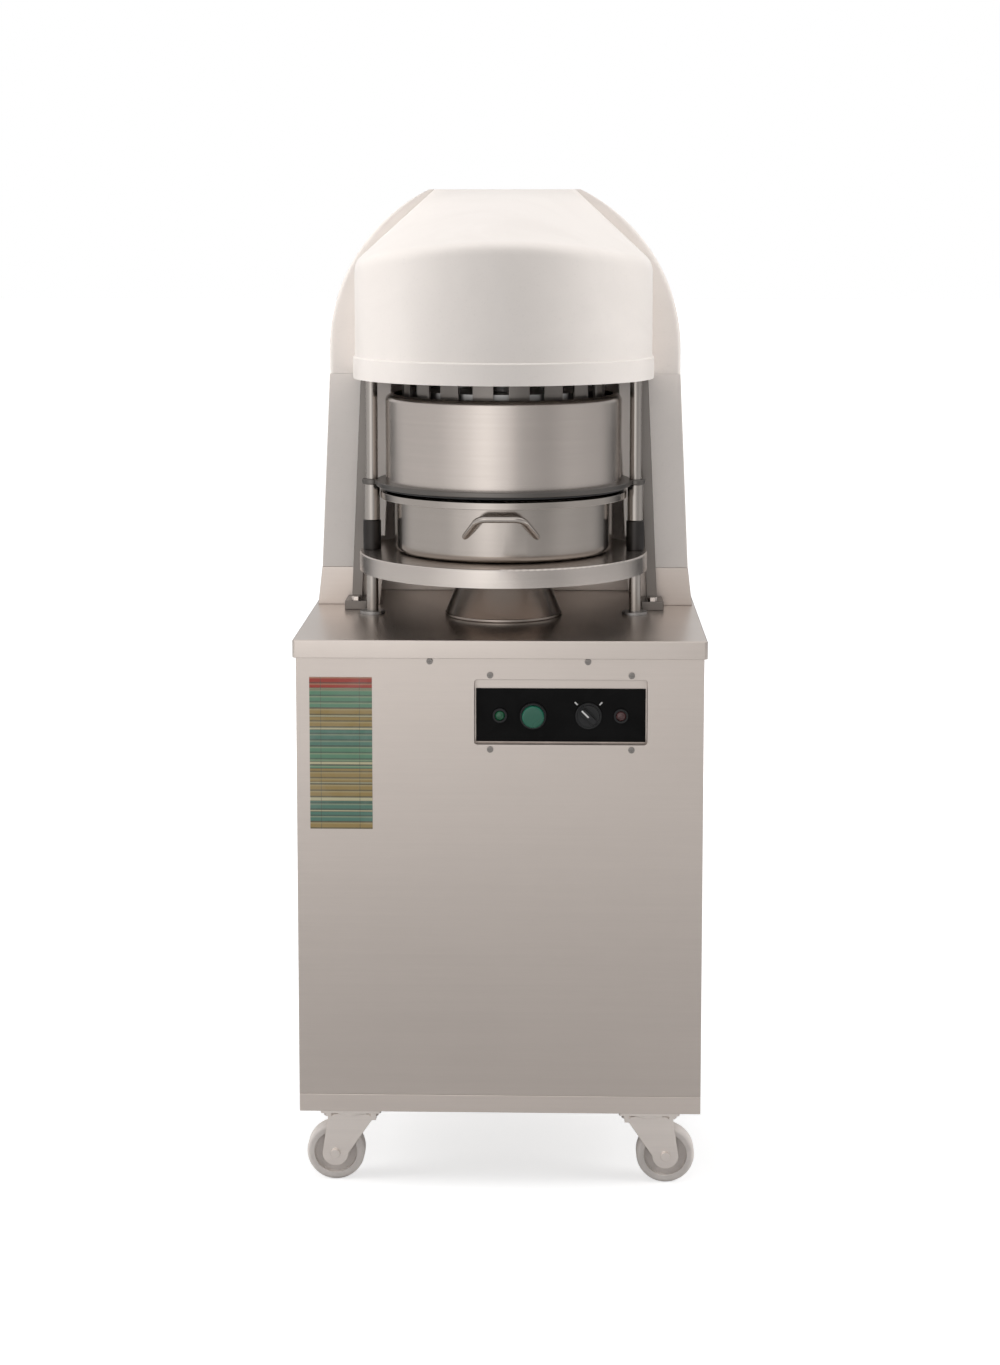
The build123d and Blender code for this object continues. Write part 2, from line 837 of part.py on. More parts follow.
with BuildPart() as drum_shell:
    neck = basket_radius + drum_neck_gap
    add(
        turned(
            (drum_inner, drum_z),
            (drum_radius, drum_z),
            (drum_radius, drum_top),
            (neck, drum_top),
            (neck, drum_top - drum_wall),
            (drum_inner, drum_top - drum_wall),
        )
    )
    shoulder = drum_shell.edges().filter_by(GeomType.CIRCLE).group_by(Axis.Z)[-1].sort_by(SortBy.RADIUS)[-1]
    fillet(shoulder, drum_round)
    inside = drum_shell.edges().filter_by(GeomType.CIRCLE).sort_by(SortBy.RADIUS).filter_by_position(
        Axis.Z, drum_top - drum_wall - pick_band, drum_top - drum_wall + pick_band
    )[-1]
    fillet(inside, drum_round - drum_wall)
keep(drum_shell, "drum_shell")

# Pull rods from the yoke in the cabinet up to the crosshead in the hood
with BuildPart() as pull_rods:
    with BuildSketch(Plane.XY.offset(rod_bottom)):
        with Locations(*rod_places):
            Circle(rod_radius)
    extrude(amount=rod_top - rod_bottom)
    chamfer(pull_rods.faces().filter_by(Axis.Z).edges(), rod_chamfer)
keep(pull_rods, "pull_rods")

with BuildPart() as rod_nuts:
    for seat_z, height in ((crosshead_top, nut_height), (yoke_bottom, -nut_height)):
        with BuildSketch(Plane.XY.offset(seat_z)):
            with Locations(*rod_places):
                RegularPolygon(nut_size, 6)
                Circle(rod_radius + weld_gap, mode=Mode.SUBTRACT)
        extrude(amount=height)
keep(rod_nuts, "rod_nuts")

with BuildPart() as crosshead:
    with BuildSketch(Plane.XY.offset(crosshead_bottom)):
        SlotCenterToCenter(2 * rod_x, 2 * crosshead_end_radius)
        Circle(crosshead_hub_radius)
        with Locations(*rod_places):
            Circle(rod_radius + weld_gap, mode=Mode.SUBTRACT)
    extrude(amount=crosshead_height)
keep(crosshead, "crosshead")

with BuildPart() as head_columns:
    with BuildSketch(Plane.XY.offset(carrier_top)):
        with PolarLocations(column_circle_radius, 4):
            Circle(column_radius)
    extrude(amount=crosshead_bottom - carrier_top)
    with BuildSketch(Plane.XY.offset(carrier_top)):
        with PolarLocations(column_circle_radius, 4):
            Circle(column_collar_radius)
    extrude(amount=column_collar_height)
keep(head_columns, "head_columns")

# Knife basket: ring knives at the radii that give every cell the same area
cell_count = sum(ring_counts)
ring_radii = (
    basket_inner * sqrt(ring_counts[0] / cell_count),
    basket_inner * sqrt((ring_counts[0] + ring_counts[1]) / cell_count),
)
half_blade = blade_sheet / 2
blade_start = (blade_sheet * 2, ring_radii[0] + half_blade + weld_gap, ring_radii[1] + half_blade + weld_gap)
blade_end = (
    ring_radii[0] - half_blade - weld_gap,
    ring_radii[1] - half_blade - weld_gap,
    basket_inner - weld_gap,
)

with BuildPart() as cutter_ring:
    with BuildSketch(Plane.XY.offset(blade_bottom)):
        Circle(basket_radius)
        Circle(basket_inner, mode=Mode.SUBTRACT)
    extrude(amount=basket_top - blade_bottom)
    with BuildSketch(Plane.XY.offset(basket_slot_bottom)):
        with PolarLocations(basket_radius, ring_counts[2], start_angle=180 / ring_counts[2]):
            Rectangle(4 * basket_wall, basket_slot)
    extrude(amount=basket_top - basket_slot_bottom, mode=Mode.SUBTRACT)
    cutting_edge = cutter_ring.edges().filter_by(GeomType.CIRCLE).group_by(Axis.Z)[0].sort_by(SortBy.RADIUS)[-1]
    chamfer(cutting_edge, length=cutting_edge_height, length2=basket_wall - cutting_edge_land)
keep(cutter_ring, "cutter_ring")

with BuildPart() as ring_knives:
    with BuildSketch(Plane.XY.offset(blade_bottom)):
        for radius in reversed(ring_radii):
            Circle(radius + half_blade)
            Circle(radius - half_blade, mode=Mode.SUBTRACT)
    extrude(amount=blade_height)
keep(ring_knives, "ring_knives")

with BuildPart() as radial_blades:
    for count, start, end in zip(ring_counts, blade_start, blade_end):
        with BuildSketch(Plane.XY.offset(blade_bottom)):
            with PolarLocations((start + end) / 2, count):
                Rectangle(end - start, blade_sheet)
        extrude(amount=blade_height)
keep(radial_blades, "radial_blades")

cell_inner = (0, ring_radii[0] + half_blade + knife_gap, ring_radii[1] + half_blade + knife_gap)
cell_outer = (
    ring_radii[0] - half_blade - knife_gap,
    ring_radii[1] - half_blade - knife_gap,
    basket_inner - knife_gap,
)
half_wedge = pi / ring_counts[0]
wedge_centre = 2 * cell_outer[0] * sin(half_wedge) / (3 * half_wedge)
rod_circles = (wedge_centre, (cell_inner[1] + cell_outer[1]) / 2, (cell_inner[2] + cell_outer[2]) / 2)

with BuildPart() as cutter_carrier:
    with BuildSketch(Plane.XY.offset(carrier_z)):
        Circle(basket_inner - weld_gap)
        for count, circle in zip(ring_counts, rod_circles):
            with PolarLocations(circle, count, start_angle=180 / count):
                Circle(segment_rod + run_fit, mode=Mode.SUBTRACT)
    extrude(amount=carrier_sheet)
keep(cutter_carrier, "cutter_carrier")

# Press plate: one segment in every cell, hung by its rod from a common plate
with BuildPart() as press_carrier:
    with BuildSketch(Plane.XY.offset(press_z)):
        Circle(press_disc_radius)
        with PolarLocations(column_circle_radius, 4):
            Circle(column_radius + run_fit, mode=Mode.SUBTRACT)
    extrude(amount=press_sheet)
keep(press_carrier, "press_carrier")

with BuildPart() as press_segments:
    for count, inner, outer, circle in zip(ring_counts, cell_inner, cell_outer, rod_circles):
        with BuildSketch(Plane.XY.offset(blade_bottom)):
            Circle(outer)
            if inner > 0:
                Circle(inner, mode=Mode.SUBTRACT)
            with PolarLocations(outer / 2, count):
                Rectangle(outer + 2 * knife_gap, blade_sheet + 2 * knife_gap, mode=Mode.SUBTRACT)
        extrude(amount=segment_height)
        with BuildSketch(Plane.XY.offset(blade_bottom + segment_height)):
            with PolarLocations(circle, count, start_angle=180 / count):
                Circle(segment_rod)
        extrude(amount=press_z - blade_bottom - segment_height)
keep(press_segments, "press_segments")


def coil_line(radius, low, high, turns):
    """Steady helix about Z from low to high, drawn as two arcs for each half turn."""
    climb = (high - low) / (2 * turns)
    slope = Vector(0, pi * radius, climb).normalized()
    with BuildLine() as line:
        for half in range(2 * turns):
            way = 1 if half % 2 == 0 else -1
            start = Vector(way * radius, 0, low + half * climb)
            end = Vector(-way * radius, 0, low + (half + 1) * climb)
            leave = Vector(0, way * slope.Y, slope.Z)
            arrive = Vector(0, -way * slope.Y, slope.Z)
            chord = end - start
            both = leave + arrive
            turn = 2 * (1 - leave.dot(arrive))
            reach = (sqrt(chord.dot(both) ** 2 + turn * chord.dot(chord)) - chord.dot(both)) / turn
            first = start + leave * reach
            second = end - arrive * reach
            middle = (first + second) / 2
            TangentArc(start, middle, tangent=leave)
            TangentArc(middle, end, tangent=second - first)
    return line.wire()


# Press spring of flat wire, between the press plate and the crosshead
with BuildPart() as press_spring:
    spring_low = press_top + spring_seat + spring_wire_height / 2
    spring_high = crosshead_bottom - spring_seat - spring_wire_height / 2
    coil = coil_line(spring_radius, spring_low, spring_high, spring_turns)
    with BuildSketch(Plane(origin=coil @ 0, x_dir=(1, 0, 0), z_dir=coil % 0)):
        Rectangle(spring_wire_width, spring_wire_height)
    sweep(path=coil)
spring_gap = (spring_high - spring_low) / spring_turns - spring_wire_height
print(f"least gap between the spring's turns {spring_gap:.2f} mm")
keep(press_spring, "press_spring")

# Lower yoke across the rods, with the rack below it
with BuildPart() as lower_yoke:
    with BuildSketch(Plane.XY.offset(yoke_bottom)):
        SlotCenterToCenter(2 * rod_x, yoke_depth)
        with Locations(*rod_places):
            Circle(rod_radius + weld_gap, mode=Mode.SUBTRACT)
    extrude(amount=yoke_height)
keep(lower_yoke, "lower_yoke")

addendum = addendum_share * gear_module
dedendum = dedendum_share * gear_module
tooth_pitch = pi * gear_module
half_tooth = tooth_pitch / 4 - tooth_backlash
flank = tan(radians(pressure_angle))
rack_teeth = int((yoke_bottom - rack_bottom) / tooth_pitch / 2)
rack_middle = pinion_z + tooth_pitch * round((yoke_bottom + rack_bottom - 2 * pinion_z) / 2 / tooth_pitch)

with BuildPart() as rack:
    with BuildSketch(Plane.XZ):
        with Locations(((dedendum + rack_back) / 2, (rack_bottom + yoke_bottom) / 2)):
            Rectangle(rack_back - dedendum, yoke_bottom - rack_bottom)
        tooth_count = 2 * rack_teeth - 1
        with Locations((0, rack_middle)):
            with GridLocations(0, tooth_pitch, 1, tooth_count):
                Polygon(
                    (-addendum, half_tooth - addendum * flank),
                    (dedendum, half_tooth + dedendum * flank),
                    (dedendum, -half_tooth - dedendum * flank),
                    (-addendum, addendum * flank - half_tooth),
                    align=None,
                )
    extrude(amount=gear_width / 2, both=True)
keep(rack, "rack")


def involute(angle):
    """Involute function of a pressure angle in radians."""
    return tan(angle) - angle


# Pinion with its shaft, in mesh with the rack
base_radius = pinion_radius * cos(radians(pressure_angle))
tip_radius = pinion_radius + addendum
root_radius = pinion_radius - dedendum
half_angle = half_tooth / pinion_radius + involute(radians(pressure_angle))
flank_radii = (base_radius, (base_radius + pinion_radius) / 2, (pinion_radius + tip_radius) / 2, tip_radius)
upper_flank = []
for radius in flank_radii:
    spread = half_angle - involute(acos(base_radius / radius))
    upper_flank.append((radius * cos(spread), radius * sin(spread)))
foot_radius = root_radius - gear_module
tooth_outline = [(foot_radius * cos(half_angle), foot_radius * sin(half_angle))]
tooth_outline += upper_flank
tooth_outline += [(x, -y) for x, y in reversed(tooth_outline)]

with BuildPart() as pinion:
    with BuildSketch(Plane.XZ):
        with Locations((-pinion_radius, pinion_z)):
            Circle(root_radius)
            with PolarLocations(0, pinion_teeth, start_angle=180 / pinion_teeth):
                Polygon(*tooth_outline, align=None)
    extrude(amount=gear_width / 2, both=True)
    with BuildSketch(Plane.XZ.offset(gear_width / 2 + shaft_front)):
        with Locations((-pinion_radius, pinion_z)):
            Circle(shaft_radius)
    extrude(amount=-(gear_width + shaft_front + shaft_back))
keep(pinion, "pinion")

# Gearbox on its rails, with the motor on its left side
with BuildPart() as gearbox:
    slab(
        (gearbox_left, gearbox_front, gearbox_z),
        (gearbox_right, gearbox_front + gearbox_depth, gearbox_z + gearbox_height),
    )
    fillet(gearbox.edges().filter_by(Axis.Y), gearbox_round)
    with BuildSketch(Plane.XZ.offset(-gearbox_front)):
        with Locations((-pinion_radius, pinion_z)):
            Circle(gearbox_boss)
    extrude(amount=gearbox_boss_height)
    with BuildSketch(Plane.XZ.offset(gearbox_boss_height - gearbox_front)):
        with Locations((-pinion_radius, pinion_z)):
            Circle(shaft_radius + run_fit)
    extrude(amount=-(gearbox_depth + gearbox_boss_height), mode=Mode.SUBTRACT)
keep(gearbox, "gearbox")

motor_face = Plane(origin=(gearbox_left, gearbox_y, pinion_z), x_dir=(0, 1, 0), z_dir=(-1, 0, 0))
with BuildPart() as motor:
    with BuildSketch(motor_face):
        Circle(motor_flange_radius)
    extrude(amount=motor_flange_sheet)
    with BuildSketch(motor_face.offset(motor_flange_sheet)):
        Circle(motor_radius)
        with PolarLocations(motor_radius, motor_fins):
            Rectangle(2 * motor_fin_height, motor_fin_sheet)
    extrude(amount=motor_length - motor_flange_sheet - fan_cover_length)
    with BuildSketch(motor_face.offset(motor_length - fan_cover_length)):
        Circle(motor_radius + motor_fin_height)
    extrude(amount=fan_cover_length)
    fillet(motor.faces().sort_by(Axis.X)[0].edges(), motor_fin_height)
    with Locations((gearbox_left - motor_length / 2, gearbox_y, pinion_z + motor_radius)):
        Box(*terminal_box, align=BOTTOM)
keep(motor, "motor")

with BuildPart() as drive_rails:
    for rail_y in (gearbox_front + rail_size / 2, gearbox_front + gearbox_depth - rail_size / 2):
        with BuildSketch(Plane.YZ.offset(-inner_half)):
            with Locations((rail_y, gearbox_z - rail_size / 2)):
                Rectangle(rail_size, rail_size)
                Rectangle(rail_size - 2 * angle_sheet, rail_size - 2 * angle_sheet, mode=Mode.SUBTRACT)
        extrude(amount=2 * inner_half)
keep(drive_rails, "drive_rails")

# Splayed posts that carry the head plate
post_top_x = post_foot_x - post_lean * (head_plate_z - worktop_height)
with BuildPart() as posts:
    for side in BOTH_SIDES:
        with BuildSketch(Plane.XY.offset(worktop_height)):
            with Locations((side * post_foot_x, post_y)):
                Rectangle(post_size, post_size)
        with BuildSketch(Plane.XY.offset(head_plate_z)):
            with Locations((side * post_top_x, post_y)):
                Rectangle(post_size, post_size)
        loft()
        slab(
            (side * post_foot_x - post_foot_width / 2, post_y - post_foot_depth / 2, worktop_height),
            (
                side * post_foot_x + post_foot_width / 2,
                post_y + post_foot_depth / 2,
                worktop_height + post_foot_height,
            ),
        )
keep(posts, "posts")

with BuildPart() as head_plate:
    head_plate_half = post_top_x + post_size / 2
    slab(
        (-head_plate_half, post_y - head_plate_depth / 2, head_plate_z),
        (head_plate_half, post_y + head_plate_depth / 2, head_plate_z + head_plate_sheet),
    )
    fillet(head_plate.edges().filter_by(Axis.Z), post_size / 2)
keep(head_plate, "head_plate")

# Hood: a bowed front with round corners and a vaulted roof, drawn out to an arch at the back
hood_lean = (hood_corner_half - hood_front_half) / (hood_corner_z - hood_bottom)
vault_z = roof_edge_z + roof_slope * hood_bow
vault_drop = vault_z - hood_corner_z
vault_radius = (hood_corner_half**2 + vault_drop**2) / (2 * vault_drop)
roof_way = Vector(0, 1, roof_slope).normalized()
roof_normal = sqrt(1 + roof_slope**2)


def hood_form(inset, floor):
    """Closed form of the hood from the floor level up, with every face drawn in by the inset."""
    top = hood_top - inset
    back_half = hood_back_half - inset
    crest_half = hood_crest_half - inset / 2
    corner_half = hood_corner_half - inset
    end_y = hood_back_y - max(inset, 0)
    floor_half = hood_front_half - inset + hood_lean * (floor - hood_bottom)
    roof_half = hood_front_half - inset + hood_lean * (top - hood_bottom)
    arch_rise = top - hood_arch_z
    arch_crest = sqrt(back_half**2 - arch_rise**2)
    arch_mid = radians(45)
    with BuildPart() as form:
        with BuildSketch(Plane.XZ.offset(-hood_corner_y)):
            Polygon(
                (-floor_half, floor),
                (floor_half, floor),
                (corner_half, hood_corner_z),
                (crest_half, top),
                (-crest_half, top),
                (-corner_half, hood_corner_z),
                align=None,
            )
        with BuildSketch(Plane.XZ.offset(-cover_front_y)) as arch:
            with BuildLine():
                Line((-back_half, floor), (back_half, floor))
                Line((back_half, floor), (back_half, hood_arch_z))
                ThreePointArc(
                    (back_half, hood_arch_z),
                    (back_half * cos(arch_mid), hood_arch_z + back_half * sin(arch_mid)),
                    (arch_crest, top),
                )
                Line((arch_crest, top), (-arch_crest, top))
                ThreePointArc(
                    (-arch_crest, top),
                    (-back_half * cos(arch_mid), hood_arch_z + back_half * sin(arch_mid)),
                    (-back_half, hood_arch_z),
                )
                Line((-back_half, hood_arch_z), (-back_half, floor))
            make_face()
        loft(ruled=True)
        extrude(arch.sketch, amount=cover_front_y - end_y)
        for half, level in ((floor_half, floor), (roof_half, top)):
            with BuildSketch(Plane.XY.offset(level)):
                bow_half = hood_bow_share * half
                bow_y = hood_corner_y - hood_bow + inset
                with BuildLine():
                    bow = ThreePointArc(
                        (-bow_half, bow_y + hood_bow_sag),
                        (0, bow_y),
                        (bow_half, bow_y + hood_bow_sag),
                    )
                    TangentArc(bow @ 1, (half, hood_corner_y), tangent=bow % 1)
                    TangentArc(bow @ 0, (-half, hood_corner_y), tangent=-(bow % 0))
                    Line((half, hood_corner_y), (-half, hood_corner_y))
                make_face()
        loft(ruled=True)
        with BuildSketch(Plane.XZ.offset(2 * hood_bow - hood_corner_y)):
            vault_crown = vault_z - inset * roof_normal - 2 * roof_slope * hood_bow
            with Locations((0, vault_crown - vault_radius)):
                Rectangle(2 * hood_back_half, 2 * vault_radius, align=(Align.CENTER, Align.MIN))
                Circle(vault_radius, mode=Mode.SUBTRACT)
        extrude(amount=2 * worktop_depth, dir=roof_way, mode=Mode.SUBTRACT)
    return form.part


with BuildPart() as hood_lip:
    add(hood_form(-hood_lip_proud, hood_bottom))
    with Locations((0, 0, hood_bottom)):
        Box(2 * worktop_width, 2 * worktop_depth, hood_lip_height, align=BOTTOM, mode=Mode.INTERSECT)

with BuildPart() as hood:
    add(hood_form(0, hood_bottom))
    add(hood_lip.part)
    add(hood_form(hood_wall, hood_bottom - hood_wall), mode=Mode.SUBTRACT)
keep(hood, "hood")


def cover_form(inset, low, low_half, high, high_half, front):
    """Leaning box behind the drum, with its sides and back drawn in by the inset."""
    with BuildPart() as form:
        for level, half in ((low, low_half), (high, high_half)):
            with BuildSketch(Plane.XY.offset(level)):
                with Locations((0, (front + hood_back_y - inset) / 2)):
                    Rectangle(2 * (half - inset), hood_back_y - inset - front)
        loft(ruled=True)
    return form.part


# Rear cover and plinth, with flanges beside their open front and room for the disc
with BuildPart() as rear_cover:
    cover_ends = (cover_bottom, cover_bottom_half, hood_bottom, hood_back_half)
    add(cover_form(0, *cover_ends, cover_front_y))
    add(cover_form(cover_wall, *cover_ends, cover_front_y + cover_wall), mode=Mode.SUBTRACT)
    add(cover_form(cover_flange, *cover_ends, cover_front_y - cover_wall), mode=Mode.SUBTRACT)
    with BuildSketch(Plane.XZ.offset(-cover_front_y)):
        with Locations((0, (cover_bottom + disc_top + cover_disc_room) / 2)):
            Rectangle(2 * disc_radius, disc_top + cover_disc_room - cover_bottom)
    extrude(amount=-cover_wall, mode=Mode.SUBTRACT)
keep(rear_cover, "rear_cover")

with BuildPart() as rear_plinth:
    plinth_ends = (worktop_height, half_width, cover_bottom, cover_bottom_half)
    add(cover_form(0, *plinth_ends, cover_front_y))
    add(cover_form(plinth_sheet, *plinth_ends, cover_front_y + plinth_sheet), mode=Mode.SUBTRACT)
    add(cover_form(cover_flange, *plinth_ends, cover_front_y - plinth_sheet), mode=Mode.SUBTRACT)
keep(rear_plinth, "rear_plinth")
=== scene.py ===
"""Looks of an electric dough divider, built on its fixed frame. Metres, Z up, the front faces -Y."""

import json
import logging
import math
from dataclasses import dataclass, field
from enum import Enum

import bmesh
import bpy
from mathutils import Matrix, Vector


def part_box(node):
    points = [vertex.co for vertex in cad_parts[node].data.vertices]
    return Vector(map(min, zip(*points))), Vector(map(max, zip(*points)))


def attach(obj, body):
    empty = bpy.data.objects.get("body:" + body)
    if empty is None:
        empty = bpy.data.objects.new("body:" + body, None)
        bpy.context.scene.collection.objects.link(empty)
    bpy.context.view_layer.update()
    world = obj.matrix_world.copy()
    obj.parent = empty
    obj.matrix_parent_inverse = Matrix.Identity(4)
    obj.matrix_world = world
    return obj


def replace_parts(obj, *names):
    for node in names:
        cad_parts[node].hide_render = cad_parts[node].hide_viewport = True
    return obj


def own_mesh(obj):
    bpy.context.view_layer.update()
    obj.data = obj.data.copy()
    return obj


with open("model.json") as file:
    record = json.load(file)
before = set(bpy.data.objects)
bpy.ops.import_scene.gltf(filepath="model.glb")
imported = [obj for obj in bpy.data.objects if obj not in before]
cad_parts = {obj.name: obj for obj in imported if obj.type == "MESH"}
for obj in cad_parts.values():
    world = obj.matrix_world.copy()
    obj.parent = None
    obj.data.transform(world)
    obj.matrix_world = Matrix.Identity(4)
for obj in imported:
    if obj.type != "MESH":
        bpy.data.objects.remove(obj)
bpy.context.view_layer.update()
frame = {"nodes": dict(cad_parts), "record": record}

MM = 0.001
LATHE_STEPS = 160
MERGE_DISTANCE = 0.002 * MM
FLAT_ANGLE = math.radians(0.4)
SHARP_ANGLE = math.radians(28)
EDGE_RUB = 1.0 * MM
# Reach of the ambient occlusion that paints shade into corners.
CORNER_SHADE_REACH = 9.0 * MM
ROUND_SQUEEZE = 0.002
WHITE = (1.0, 1.0, 1.0, 1.0)
BLACK = (0.0, 0.0, 0.0, 1.0)

log = logging.getLogger("dough_divider")

Colour = tuple[float, float, float]
Group = bpy.types.NodeTree
Material = bpy.types.Material
Pair = tuple[float, float]
Point = tuple[float, float, float]
Rgba = tuple[float, float, float, float]
Shape = bmesh.types.BMesh
Socket = bpy.types.NodeSocket


class Grain(Enum):
    """Way in which the fine lines of a metal surface run, with the squeeze that draws out straight ones."""

    ALONG_X = (0.012, 1.0, 1.0)
    ALONG_Y = (1.0, 0.012, 1.0)
    ALONG_Z = (1.0, 1.0, 0.012)
    ROUND = None


class Tree:
    """Short hand for adding and joining the nodes of a material or of a node group."""

    def __init__(self, tree: Group) -> None:
        """Keep the nodes and the links of the tree."""
        self.nodes = tree.nodes
        self.links = tree.links

    def join(self, socket: Socket, value: object) -> None:
        """Feed an input from another socket, or set its value.

        Args:
            socket: The input.
            value: A source socket, or a value.
        """
        if isinstance(value, Socket):
            self.links.new(value, socket)
        else:
            socket.default_value = value

    def add(self, kind: str, settings: dict | None = None, **inputs: object) -> bpy.types.Node:
        """Add one node.

        Args:
            kind: Blender's name of the node type, after ShaderNode.
            settings: Properties of the node.
            inputs: Values or source sockets of its inputs, by name with _ for a space.

        Returns:
            The new node.
        """
        node = self.nodes.new("ShaderNode" + kind)
        for name, value in (settings or {}).items():
            setattr(node, name, value)
        for name, value in inputs.items():
            self.join(node.inputs[name.replace("_", " ")], value)
        return node

    def math(self, operation: str, first: object, second: object = 0.0) -> Socket:
        """Add one Math node.

        Args:
            operation: Name of the operation.
            first: Value or socket of the first input.
            second: Value or socket of the second input.

        Returns:
            Its output.
        """
        node = self.add("Math", {"operation": operation})
        for socket, value in zip(node.inputs, (first, second)):
            self.join(socket, value)
        return node.outputs[0]

    def times(self, first: object, second: object) -> Socket:
        """Multiply two values."""
        return self.math("MULTIPLY", first, second)

    def ramp(self, source: Socket, low: float, high: float, to_low: float = 0.0,
             to_high: float = 1.0) -> Socket:
        """Map one range of a value smoothly to another.

        Args:
            source: Value to map.
            low: Source value that gives to_low.
            high: Source value that gives to_high.
            to_low: Result at low and beyond it.
            to_high: Result at high and beyond it.

        Returns:
            The mapped value.
        """
        node = self.add("MapRange", {"interpolation_type": "SMOOTHSTEP"}, Value=source,
                        From_Min=low, From_Max=high, To_Min=to_low, To_Max=to_high)
        return node.outputs["Result"]

    def mix(self, factor: object, first: object, second: object) -> Socket:
        """Mix two colours.

        Args:
            factor: Share of the second colour, a value or a socket.
            first: First colour, four numbers or a socket.
            second: Second colour, four numbers or a socket.

        Returns:
            The mixed colour.
        """
        node = self.add("Mix", {"data_type": "RGBA"})
        for index, value in ((0, factor), (6, first), (7, second)):
            self.join(node.inputs[index], value)
        return node.outputs[2]

    def noise(self, vector: Socket, scale: Socket, **values: float) -> Socket:
        """Add a noise.

        Args:
            vector: Its coordinates.
            scale: Its scale.
            values: Its other inputs, by name.

        Returns:
            Its value.
        """
        return self.add("TexNoise", Vector=vector, Scale=scale, **values).outputs[0]

    def length(self, vector: Socket) -> Socket:
        """Length of a vector."""
        return self.add("VectorMath", {"operation": "LENGTH"}, Vector=vector).outputs["Value"]


def rgba(colour: Colour, level: float = 1.0) -> Rgba:
    """Colour with its opacity, times a level."""
    return (colour[0] * level, colour[1] * level, colour[2] * level, 1.0)


def new_material(name: str) -> tuple[Material, Tree, bpy.types.Node]:
    """Start a material.

    Args:
        name: Name of the material.

    Returns:
        The material, its tree and its shader.
    """
    material = bpy.data.materials.new(name)
    material.use_nodes = True
    shader = next(node for node in material.node_tree.nodes if node.type == "BSDF_PRINCIPLED")
    return material, Tree(material.node_tree), shader


def set_values(shader: bpy.types.Node, **values: object) -> None:
    """Set a shader's uniform values on its own sockets, by name with _ for a space."""
    for name, value in values.items():
        shader.inputs[name.replace("_", " ")].default_value = value


def new_group(name: str, *outputs: str) -> tuple[Group, Tree, Socket, Socket, bpy.types.NodeInputs]:
    """Start a shader node group that takes a vector and a scale.

    Args:
        name: Name of the group.
        outputs: Names of the values that it puts out.

    Returns:
        The group, its tree, its vector, its scale and the sockets for its values.
    """
    group = bpy.data.node_groups.new(name, "ShaderNodeTree")
    for title, kind in (("Vector", "NodeSocketVector"), ("Scale", "NodeSocketFloat")):
        group.interface.new_socket(title, in_out="INPUT", socket_type=kind)
    for title in outputs:
        group.interface.new_socket(title, in_out="OUTPUT", socket_type="NodeSocketFloat")
    start = group.nodes.new("NodeGroupInput").outputs
    end = group.nodes.new("NodeGroupOutput").inputs
    return group, Tree(group), start["Vector"], start["Scale"], end


def grain_group() -> Group:
    """Fine drawn lines of rolled or turned metal, in two sizes, from stretched coordinates.

    Returns:
        A group with Vector and Scale in, Lines and Drift out.
    """
    fine_share, coarse_share = 0.6, 0.4
    coarse_size, wide_size = 0.17, 0.03
    limits = (0.3, 0.7)
    group, tree, vector, scale, end = new_group("DrawnLines", "Lines", "Drift")
    fine = tree.noise(vector, scale, Detail=3.0, Roughness=0.65)
    coarse = tree.noise(vector, tree.times(scale, coarse_size), Detail=2.0, Roughness=0.5)
    wide = tree.noise(vector, tree.times(scale, wide_size), Detail=2.0, Roughness=0.5)
    both = tree.math("ADD", tree.times(fine, fine_share), tree.times(coarse, coarse_share))
    tree.join(end["Lines"], tree.ramp(both, *limits))
    tree.join(end["Drift"], tree.ramp(wide, *limits))
    return group


def smudge_group() -> Group:
    """Soft patches left by wiping and handling.

    Returns:
        A group with Vector and Scale in, Patches and Specks out.
    """
    speck_size = 60.0
    patch_limits, speck_limits = (0.38, 0.66), (0.58, 0.72)
    group, tree, vector, scale, end = new_group("WipedPatches", "Patches", "Specks")
    soft = tree.noise(vector, scale, Detail=4.0, Roughness=0.6, Distortion=0.8)
    speck = tree.noise(vector, tree.times(scale, speck_size), Detail=2.0, Roughness=0.6)
    tree.join(end["Patches"], tree.ramp(soft, *patch_limits))
    tree.join(end["Specks"], tree.ramp(speck, *speck_limits))
    return group


def wear_and_shade_group() -> Group:
    """Rubbed edges, and painted shade in the corners found by ambient occlusion, both broken up by noise.

    Returns:
        A group with Vector and Scale in; out, Edge for the rubbed edges and a mask of painted corner shade.
    """
    bent_limits, hidden_limits = (0.98, 0.80), (0.75, 0.25)
    edge_limits, corner_limits = (0.35, 0.65), (0.2, 0.6)
    group, tree, vector, scale, end = new_group("WornEdgesAndCornerShade", "Edge", "CornerShade")
    rounded = tree.add("Bevel", {"samples": 4}, Radius=EDGE_RUB).outputs["Normal"]
    flat = tree.add("NewGeometry").outputs["Normal"]
    likeness = tree.add("VectorMath", {"operation": "DOT_PRODUCT"})
    for socket, normal in zip(likeness.inputs, (rounded, flat)):
        tree.join(socket, normal)
    bent = tree.ramp(likeness.outputs["Value"], *bent_limits)
    # Painted shade: ambient occlusion marks the corners that the finishes darken.
    free = tree.add("AmbientOcclusion", {"samples": 5}, Distance=CORNER_SHADE_REACH).outputs["AO"]
    hidden = tree.ramp(free, *hidden_limits)
    patch = tree.noise(vector, scale, Detail=4.0, Roughness=0.7)
    tree.join(end["Edge"], tree.times(bent, tree.ramp(patch, *edge_limits)))
    tree.join(end["CornerShade"], tree.times(hidden, tree.ramp(patch, *corner_limits)))
    return group


